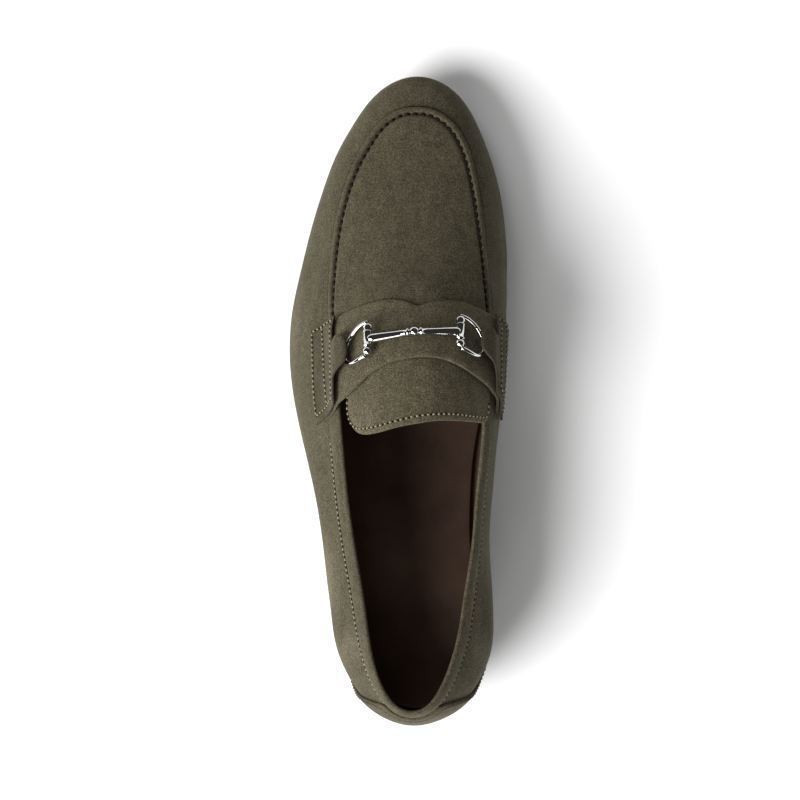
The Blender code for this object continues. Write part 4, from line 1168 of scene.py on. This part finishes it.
def buildCounter():
    look = counterLook
    rows = np.linspace(-look["rows"], look["rows"], look["across"] + 1)
    shares = 1.0 - (1.0 - np.linspace(0.0, 1.0, look["up"] + 1)) ** 1.6
    across = look["up"] + 1
    top = []
    under = []
    for row in rows:
        for share in shares:
            ground, normal = counterPlace(row, share)
            edge = min(1.0, (1.0 - share) / look["edgeUp"], (look["rows"] - abs(row)) / look["edgeRound"])
            rounded = math.sqrt(max(0.0, 1.0 - (1.0 - edge) ** 2))
            top.append(ground + normal * (shoe["lay"] + look["thickness"] * (0.55 + 0.45 * rounded)))
            under.append(ground + normal * (look["sewnDown"] * shoe["lay"]))
    shift = len(top)
    faces = []
    for low in range(0, look["across"] * across, across):
        faces += gridFaces(range(low, low + across), range(low + across, low + 2 * across))
    marks = [0] * len(faces)
    faces += [tuple(corner + shift for corner in reversed(face)) for face in faces]
    loop = [step * across for step in range(look["across"] + 1)]
    loop += [look["across"] * across + rise for rise in range(1, across)]
    loop += [step * across + look["up"] for step in range(look["across"] - 1, -1, -1)]
    loop += [rise for rise in range(look["up"] - 1, 0, -1)]
    faces += bandFaces(loop, [place + shift for place in loop])
    marks += [1] * (len(faces) - len(marks))
    addPiece("heel_counter_suede", top + under, faces, (counterSuede, edgeSuedeHighlight), "heel_counter",
             marks)
    print("heel counter:", len(faces), "faces")


buildCounter()


# Stitching

def evenPath(points, pitch):
    points = np.array(points)
    run = np.concatenate([[0.0], np.cumsum(np.linalg.norm(np.diff(points, axis=0), axis=1))])
    count = max(2, int(run[-1] / pitch))
    even = (np.arange(count) + 0.5) * run[-1] / count
    return even, run, points


def pathAt(run, points, place):
    return np.array([np.interp(place, run, points[:, column]) for column in range(3)])


stitchForm = {"sides": 8, "rings": 7, "flat": 1.15, "holeSides": 10, "holeLong": 1.2,
              "holeCrown": 0.00006, "holeDepth": 0.0003, "step": 0.0004}


def stitchParts(points, normals, look):
    # short threads that rise out of one hole and sink into the next
    even, run, points = evenPath(points, look["pitch"])
    normals = np.array(normals)
    threads = []
    holes = []
    half = look["length"] / 2
    slant = math.radians(look["slant"])
    sides = stitchForm["sides"]
    last = sides * (stitchForm["rings"] - 1)
    turns = np.linspace(0.0, 2 * math.pi, sides, endpoint=False)
    holeSides = stitchForm["holeSides"]
    holeTurns = np.linspace(0.0, 2 * math.pi, holeSides, endpoint=False)
    for place in even:
        normal = pathAt(run, normals, place)
        normal /= np.linalg.norm(normal)
        middle = pathAt(run, points, place)
        step = stitchForm["step"]
        along = pathAt(run, points, place + step) - pathAt(run, points, place - step)
        along /= np.linalg.norm(along)
        across = np.cross(normal, along)
        leaning = along * math.cos(slant) + across * math.sin(slant)
        side = np.cross(normal, leaning)
        rings = []
        for share in np.linspace(-1.0, 1.0, stitchForm["rings"]):
            rise = look["rise"] * (1.0 - share ** 2) - look["sink"]
            radius = look["radius"] * max(0.35, (1.0 - share ** 6) ** 0.5)
            centre = middle + leaning * half * share + normal * rise
            wide = side * stitchForm["flat"]
            rings.append([centre + (wide * math.cos(turn) + normal * math.sin(turn)) * radius
                          for turn in turns])
        faces = []
        for low in range(0, last, sides):
            faces += layerFaces(low, sides)
        faces.append(tuple(reversed(range(sides))))
        faces.append(tuple(last + corner for corner in range(sides)))
        threads.append(([point for ring in rings for point in ring], faces))
        if look["hole"] > 0.0:
            centre = middle + along * (half + 0.5 * (look["pitch"] - look["length"]))
            centre = centre + normal * look["holeRise"]
            longer = along * stitchForm["holeLong"]
            disc = [centre + normal * stitchForm["holeCrown"]]
            disc += [centre + (longer * math.cos(turn) + across * math.sin(turn)) * look["hole"]
                     for turn in holeTurns]
            disc += [centre - normal * stitchForm["holeDepth"]]
            corners = [(1 + turn, 1 + (turn + 1) % holeSides) for turn in range(holeSides)]
            faces = [(0, first, second) for first, second in corners]
            faces += [(holeSides + 1, second, first) for first, second in corners]
            holes.append((disc, faces))
    return threads, holes


fineStitch = {"pitch": 0.0024, "length": 0.0013, "radius": 0.00034, "rise": 0.00024, "sink": 0.00005,
              "slant": 8.0, "hole": 0.00060, "holeRise": 0.00005}
apronStitch = {"pitch": 0.0036, "length": 0.0025, "radius": 0.00074, "rise": 0.00030, "sink": 0.00002,
               "slant": 18.0, "hole": 0.0, "holeRise": 0.0}


def sewRows(name, rows, look, thread):
    threads = []
    holes = []
    for points, normals in rows:
        rowThreads, rowHoles = stitchParts(points, normals, look)
        threads += rowThreads
        holes += rowHoles
    points, faces = joined(threads + holes)
    marks = [0] * sum(len(part[1]) for part in threads)
    marks += [1] * (len(faces) - len(marks))
    addPiece(name, points, faces, (thread, holeShade), None, marks)
    print(name + ":", len(threads), "stitches")


def skinRow(places, height):
    # a stitch row along smooth places on a laid piece
    path = smoothStretch(places, 0.001)
    ground, normal = onSkin(path[:, 0], path[:, 1])
    rise = np.asarray(height(path[:, 0], path[:, 1])).reshape(-1, 1)
    return ground + normal * rise, normal


# How far each row of fine stitches lies over or under the suede's surface
sewnHeight = {"keeper": 0.00006, "tongue": -0.0001, "collar": -0.00022, "counter": -0.00008,
              "apron": 0.00012}


def keeperTop(girth, y):
    return keeperHigh(girth, y) + sewnHeight["keeper"]


def tongueTop(girth, y):
    return tongueHigh(girth, y) + sewnHeight["tongue"]


keeperRows = {
    "lateral": (
        ((-.558, 0.600), (-.570, 0.540), (-.584, 0.477)),
        ((-.480, 0.608), (-.477, 0.560), (-.472, 0.494)),
        ((-.386, 0.617), (-.382, 0.570), (-.368, 0.505)),
        ((-.558, 0.600), (-.386, 0.617)),
        ((-.584, 0.477), (-.368, 0.505)),
    ),
    "medial": (
        ((0.516, 0.608), (0.537, 0.545), (0.560, 0.484)),
        ((0.462, 0.614), (0.478, 0.560), (0.498, 0.502)),
        ((0.411, 0.620), (0.412, 0.580), (0.424, 0.545), (0.430, 0.516)),
        ((0.516, 0.608), (0.411, 0.620)),
        ((0.560, 0.484), (0.430, 0.516)),
    ),
}
tongueRow = (
    (-.309, 0.515), (-.323, 0.490), (-.318, 0.474), (-.296, 0.463), (-.255, 0.458), (-.205, 0.458),
    (-.128, 0.462), (-.046, 0.469), (0.036, 0.475), (0.119, 0.478), (0.216, 0.478), (0.343, 0.475),
    (0.400, 0.475), (0.413, 0.481), (0.414, 0.494),
)


def topLineRow():
    # along the collar, below its roll, from one end of the strap round the heel to the other
    places = rowPlaces(0.0015)
    places = places[places < 8.15]
    knots = np.concatenate([knotOf(places[::-1], -1), knotOf(places[1:], 1)])
    ring = readRing(knots)
    drop = upperLook["rollWidth"]
    points = wallCurve(ring, 1.0 - drop / ring["reach"])
    above = wallCurve(ring, 1.0 - (drop - 0.001) / ring["reach"])
    run = np.gradient(points, axis=0)
    normal = np.cross(run, above - points)
    normal /= np.linalg.norm(normal, axis=1)[:, None]
    outward = np.concatenate([ring["outward"], np.zeros((len(knots), 1))], axis=1)
    flip = np.sign(np.sum(normal * outward, axis=1))[:, None]
    normal = normal * flip
    return points + normal * sewnHeight["collar"], normal


def counterRow():
    rows = np.linspace(-counterLook["rows"] + 0.10, counterLook["rows"] - 0.10, 120)
    points = []
    normals = []
    for row in rows:
        ground, normal = counterPlace(row, counterLook["stitchShare"])
        points.append(ground + normal * (shoe["lay"] + counterLook["thickness"] + sewnHeight["counter"]))
        normals.append(normal)
    return np.array(points), np.array(normals)


def apronRow():
    # hand stitches in the groove between the apron and its raised rib
    sheet = upperGrid
    count = sheet["count"]
    top = sheet["top"]
    half = sheet["half"]
    lateral = [top + step for step in range(sheet["first"], half)]
    medial = [top + count - step for step in range(half, sheet["first"] - 1, -1)]
    line = [place for place in lateral + medial
            if upperOuter[place][1] > upperLook["stitchStart"] * shoe["length"]]
    points = upperOuter[line]
    normals = upperNormals[line]
    return points + normals * sewnHeight["apron"], normals


sewRows("apron_hand_stitches", [apronRow()], apronStitch, apronThreadShaded)
for side, rows in keeperRows.items():
    sewRows("keeper_stitches_" + side, [skinRow(row, keeperTop) for row in rows], fineStitch, fineThread)
sewRows("tongue_stitches", [skinRow(tongueRow, tongueTop)], fineStitch, fineThread)
sewRows("collar_stitches", [topLineRow()], fineStitch, fineThread)
sewRows("counter_stitches", [counterRow()], fineStitch, toneThread)


# The sole, heel and insole, as slabs that follow the upper's own outline

soleLook = {
    "extension": 0.0012,
    "edgeRound": 0.0009,
    "heelLength": 0.070,
    "heelTaper": 0.002,
    "topPiece": 0.006,
    "lift": 0.0036,
    "liftGroove": 0.00018,
    "insoleThickness": 0.0025,
    "insoleInset": 0.0013,
    "insoleDish": 0.0007,
    "insoleRound": 0.0007,
    "liftBevel": 0.0003,
    "seatGap": 0.004,
    "columns": 24,
}


def footOutline(grow, spacing):
    knots, _, half = outlineKnots(spacing)
    ring = readRing(knots)
    outline = ring["widest"][:, :2] - ring["outward"] * (ring["tuck"] - grow)[:, None]
    return outline, ring["outward"], half


def slab(name, grow, profile, bottomOf, topOf, finishes, replaced, dish=0.0):
    # profile: inset from the outline and the height share, from the underside to the top
    outline, outward, half = footOutline(grow, 0.002)
    count = len(outline)
    columns = soleLook["columns"]
    points = []
    for inset, share in profile:
        ring = outline - outward * inset
        along = ring[:, 1] / shoe["length"]
        low = bottomOf(along)
        height = low + (topOf(along) - low) * share
        points += [np.array([x, y, z]) for (x, y), z in zip(ring, height)]
    faces = []
    marks = []
    for layer in range(len(profile) - 1):
        faces += layerFaces(layer * count, count)
        marks += [1] * count
    for base, surface, mark, sink in ((0, bottomOf, 0, 0.0),
                                      ((len(profile) - 1) * count, topOf, 0, dish)):
        grid = []
        for step in range(1, half):
            left = points[base + step]
            right = points[base + count - step]
            line = [base + step]
            for column in range(1, columns):
                share = column / columns
                point = left + (right - left) * share
                point[2] = float(surface(point[1] / shoe["length"]))
                point[2] -= sink * math.sin(math.pi * share) ** 0.7
                line.append(len(points))
                points.append(point)
            line.append(base + count - step)
            grid.append(line)
        for before, after in zip(grid, grid[1:]):
            faces += gridFaces(before, after)
            marks += [mark] * columns
        for column in range(columns):
            faces.append((base, grid[0][column], grid[0][column + 1]))
            faces.append((base + half, grid[-1][column], grid[-1][column + 1]))
            marks += [mark, mark]
    return addPiece(name, points, faces, finishes, replaced, marks)


def roundProfile(radius, thickness, steps=4):
    profile = []
    for step in range(steps + 1):
        turn = math.pi / 2 * step / steps
        profile.append((radius * (1.0 - math.sin(turn)), radius * (1.0 - math.cos(turn)) / thickness))
    return profile + [(inset, 1.0 - share) for inset, share in reversed(profile)]


def outsoleTop(along):
    return underside(along) + shoe["soleThickness"]


def insoleBottom(along):
    return featherHeight(along) + upperLook["wall"] + shoe["fit"]


def insoleTop(along):
    return insoleBottom(along) + soleLook["insoleThickness"]


slab("outsole_leather", soleLook["extension"], roundProfile(soleLook["edgeRound"], shoe["soleThickness"]),
     underside, outsoleTop, (soleLeather, soleEdge), "outsole")
slab("insole_sock", -soleLook["insoleInset"],
     roundProfile(soleLook["insoleRound"], soleLook["insoleThickness"]), insoleBottom, insoleTop,
     (sockLeather, sockLeather), "insole", soleLook["insoleDish"])


def heelStack(name, levels, finishes, replaced):
    # levels: height (or None for the outsole's underside) and inset of each ring of the stack
    outline, outward, _ = footOutline(soleLook["extension"], 0.0015)
    back = outline[:, 1].min()
    front = back + soleLook["heelLength"]
    places = [place for place in range(len(outline)) if outline[place, 1] < front]
    split = next(number for number in range(1, len(places)) if places[number] != places[number - 1] + 1)
    order = places[split:] + places[:split]
    curve = outline[order]
    runs = outward[order]
    points = []
    for height, inset in levels:
        taper = soleLook["heelTaper"] * (1.0 - (height or shoe["heelHeight"]) / shoe["heelHeight"])
        ring = curve - runs * (inset + taper)
        breast = [ring[-1] + (ring[0] - ring[-1]) * share for share in np.linspace(0.1, 0.9, 9)]
        ring = np.concatenate([ring, breast])
        count = len(ring)
        for x, y in ring:
            z = height if height is not None else float(underside(y / shoe["length"])) - shoe["fit"]
            points.append((x, y, z))
    faces = [tuple(range(count))]
    for layer in range(len(levels) - 1):
        faces += layerFaces(layer * count, count)
    top = (len(levels) - 1) * count
    faces.append(tuple(top + place for place in reversed(range(count))))
    marks = [1] + [0] * (len(faces) - 2) + [1]
    piece = addPiece(name, points, faces, finishes, replaced, marks)
    piece.data.set_sharp_from_angle(angle=math.radians(35))
    return piece


def liftLevels():
    levels = []
    low = soleLook["topPiece"] + shoe["fit"]
    grooveAndPaintedShade = soleLook["liftGroove"]
    bevel = soleLook["liftBevel"]
    seat = shoe["heelHeight"] - soleLook["seatGap"]
    height = low
    while height + soleLook["lift"] < seat:
        levels += [(height, grooveAndPaintedShade), (height + bevel, 0.0), (height + soleLook["lift"] - bevel, 0.0),
                   (height + soleLook["lift"], grooveAndPaintedShade)]
        height += soleLook["lift"]
    return levels + [(height + bevel, 0.0), (None, 0.0)]


topLevels = [(0.0, 0.0006), (0.0003, 0.0001), (0.0007, 0.0), (0.0055, 0.0), (0.006, 0.0002)]
heelStack("heel_lifts_leather", liftLevels(), (soleEdge, soleLeather), "heel_lifts")
heelStack("heel_top_piece_rubber", topLevels, (rubber, rubber), "heel_top_piece")
print("sole and heel made")


# The bit: two rings on bars with round ends, two tapered half bars and a knuckle between them

def tubeParts(path, radii, around):
    path = [Vector(point) for point in path]
    points = []
    side = None
    for place, point in enumerate(path):
        run = (path[min(place + 1, len(path) - 1)] - path[max(place - 1, 0)]).normalized()
        side = side or run.orthogonal()
        side = (side - run * side.dot(run)).normalized()
        other = run.cross(side)
        for step in range(around):
            turn = 2 * math.pi * step / around
            points.append(point + (side * math.cos(turn) + other * math.sin(turn)) * radii[place])
    faces = []
    for place in range(len(path) - 1):
        faces += layerFaces(place * around, around)
    faces.append(tuple(reversed(range(around))))
    faces.append(tuple((len(path) - 1) * around + step for step in range(around)))
    return points, faces


def turnedParts(start, end, profile, around=28):
    # profile: place from start to end in metres, and the radius there
    run = (end - start).normalized()
    return tubeParts([start + run * place for place, _ in profile],
                     [radius for _, radius in profile], around)


def ballProfile(centre, radius, neck, steps=9):
    # a round bead on a bar whose radius is neck
    limit = math.acos(min(1.0, neck / radius))
    return [(centre + radius * math.sin(turn), radius * math.cos(turn))
            for turn in np.linspace(-limit, limit, steps)]


def overStrap(girth, y, height):
    return Vector(overSkin(girth, y, strapHigh(np.array([girth]), np.array([y])) + height)[0])


def strapUp(girth, y):
    return Vector(onSkin(girth, y)[1][0])


def buildBit():
    look = bitLook
    centreGirth, centreY = inPlan(look["centre"])
    centre = overStrap(centreGirth, centreY, look["linkRadius"] + look["lay"])
    seats = {}
    lift = 0.0
    for side in ("lateral", "medial"):
        girth, y = inPlan(look[side]["bar"])
        seats[side] = overStrap(girth, y, look["ballRadius"] + look["lay"])
        for share in np.linspace(0.0, 1.0, 41):
            place = girth + (centreGirth - girth) * share
            placeY = y + (centreY - y) * share
            ground = overStrap(place, placeY, 0.0)
            thick = look["wideEnd"] + (look["narrowEnd"] - look["wideEnd"]) * smoothStep(share, 0.0, 0.8)
            gap = (seats[side].lerp(centre, share) - ground).dot(strapUp(place, placeY))
            lift = max(lift, float(thick) + look["lay"] - gap)
    rise = Vector((0.0, 0.0, lift))
    centre = centre + rise
    for side in ("lateral", "medial"):
        buildBitHalf(side, seats[side] + rise, centre)
    ball = look["linkRadius"]
    sideways = Vector((1.0, 0.0, 0.0))
    profile = [(-ball, 0.0002)] + ballProfile(0.0, ball, 0.0003, 15) + [(ball, 0.0002)]
    points, faces = turnedParts(centre, centre + sideways, profile)
    addPiece("bit_link_silver", points, faces, (silver,), "bit_link")
    print("bit made")


def buildBitHalf(side, seat, centre):
    look = bitLook
    girth, y = inPlan(look[side]["bar"])
    ringGirth = look[side]["ring"] * shoe["ballWidth"]
    up = strapUp(girth, y)
    forward = Vector((0.0, up.z, -up.y)).normalized()
    ring = []
    lying = look["ringWire"] / 2 + look["lay"]
    seatHeight = (seat - overStrap(girth, y, 0.0)).length
    for step in range(look["ringSteps"] + 1):
        angle = math.pi * step / look["ringSteps"]
        reach = math.sin(angle) ** look["ringPower"]
        along = y + look["ringHalf"] * math.cos(angle) - look["ringDroop"] * math.sin(angle)
        height = lying + (seatHeight - lying) * (1.0 - float(smoothStep(reach, 0.0, look["ringMelt"])))
        ring.append(overStrap(girth + (ringGirth - girth) * reach, along, height))
    parts = [tubeParts(ring, [look["ringWire"] / 2] * len(ring), 16)]
    half = look["barHalf"]
    bar = look["barRadius"]
    ball = look["ballRadius"]
    profile = [(-half - ball, 0.0002)] + ballProfile(-half, ball, 0.0004)[1:-2]
    profile += [(-half + 0.88 * ball, bar * 0.72), (-half + ball + 0.0001, bar * 0.74),
                (-half + ball + 0.0002, bar * 1.08), (-half + ball + 0.0007, bar * 1.08),
                (-half + ball + 0.0009, bar * 0.97)]
    profile += [(-place, radius) for place, radius in reversed(profile)]
    parts.append(turnedParts(seat, seat + forward, profile))
    run = centre - seat
    length = run.length - look["linkRadius"] * 0.92
    wide = look["wideEnd"]
    narrow = look["narrowEnd"]
    barProfile = [(place, wide * share) for place, share in look["shoulder"]]
    for share in np.linspace(0.22, 0.78, 10):
        thinner = float(smoothStep(share, 0.05, look["barMelt"]))
        barProfile.append((length * share, wide + (narrow - wide) * thinner))
    barProfile += [(length - before, narrow * share) for before, share in look["bead"]]
    barProfile.append((length + 0.0001, 0.0002))
    parts.append(turnedParts(seat, centre, barProfile))
    points, faces = joined(parts)
    addPiece("bit_" + side + "_silver", points, faces, (silver,), "bit_" + side)


buildBit()


# Floor, light and camera

studio = {
    "camera": (0.0457, 0.1117, 1.300),
    "target": (-0.007, 0.112, 0.030),
    "fieldOfView": 16.5,
    "aimedAt": (0.0, 0.11, 0.03),
    "floorColour": (0.95, 0.95, 0.95),
    "floorHalf": 3.0,
    "world": 0.035,
    "key": {"place": (-1.10, -0.60, 1.08), "softness": 42.0, "strength": 5.2},
    "backdrop": 0.90,        # how pale the room looks behind the floor
    "lights": (
        ("back", (0.10, -1.30, 1.10), 0.90, 8.0),
        ("front", (-0.55, 1.30, 1.20), 0.90, 8.0),
        ("fill", (1.20, 0.10, 1.30), 0.90, 2.0),
    ),
}


def aim(item, target, up=(0.0, 1.0, 0.0)):
    # the item looks at the target with the toe's direction upward
    back = (item.location - Vector(target)).normalized()
    side = Vector(up).cross(back).normalized()
    item.rotation_euler = Matrix((side, back.cross(side), back)).transposed().to_euler()


def buildStudio():
    mesh = bpy.data.meshes.new("floor")
    size = studio["floorHalf"]
    mesh.from_pydata([(-size, -size, 0.0), (size, -size, 0.0), (size, size, 0.0), (-size, size, 0.0)],
                     [], [(0, 1, 2, 3)])
    finish, _, shader = newFinish("pale_floor", 0.6)
    shader.inputs["Base Color"].default_value = (*studio["floorColour"], 1.0)
    mesh.materials.append(finish)
    floor = bpy.data.objects.new("floor", mesh)
    floor.location.z = -0.0001
    bpy.context.scene.collection.objects.link(floor)
    world = bpy.data.worlds.new("studio")
    world.use_nodes = True
    world.node_tree.nodes["Background"].inputs["Color"].default_value = (1.0, 1.0, 1.0, 1.0)
    seen = addNode(world.node_tree, "ShaderNodeLightPath").outputs["Is Camera Ray"]
    strength = mathNode(world.node_tree, "MAXIMUM", studio["world"],
                        mathNode(world.node_tree, "MULTIPLY", seen, studio["backdrop"]))
    world.node_tree.links.new(strength, world.node_tree.nodes["Background"].inputs["Strength"])
    bpy.context.scene.world = world
    light = bpy.data.lights.new("key", "SUN")
    light.angle = math.radians(studio["key"]["softness"])
    light.energy = studio["key"]["strength"]
    item = bpy.data.objects.new("key", light)
    item.location = studio["key"]["place"]
    bpy.context.scene.collection.objects.link(item)
    aim(item, studio["aimedAt"])
    for name, place, size, power in studio["lights"]:
        light = bpy.data.lights.new(name, "AREA")
        light.size = size
        light.energy = power
        item = bpy.data.objects.new(name, light)
        item.location = place
        bpy.context.scene.collection.objects.link(item)
        item.visible_glossy = name == "back"
        aim(item, studio["aimedAt"])
    camera = bpy.data.cameras.new("camera")
    camera.angle = math.radians(studio["fieldOfView"])
    item = bpy.data.objects.new("camera", camera)
    item.location = studio["camera"]
    bpy.context.scene.collection.objects.link(item)
    aim(item, studio["target"])
    bpy.context.scene.camera = item
    bpy.context.scene.view_settings.view_transform = "Standard"


buildStudio()
print("studio ready")
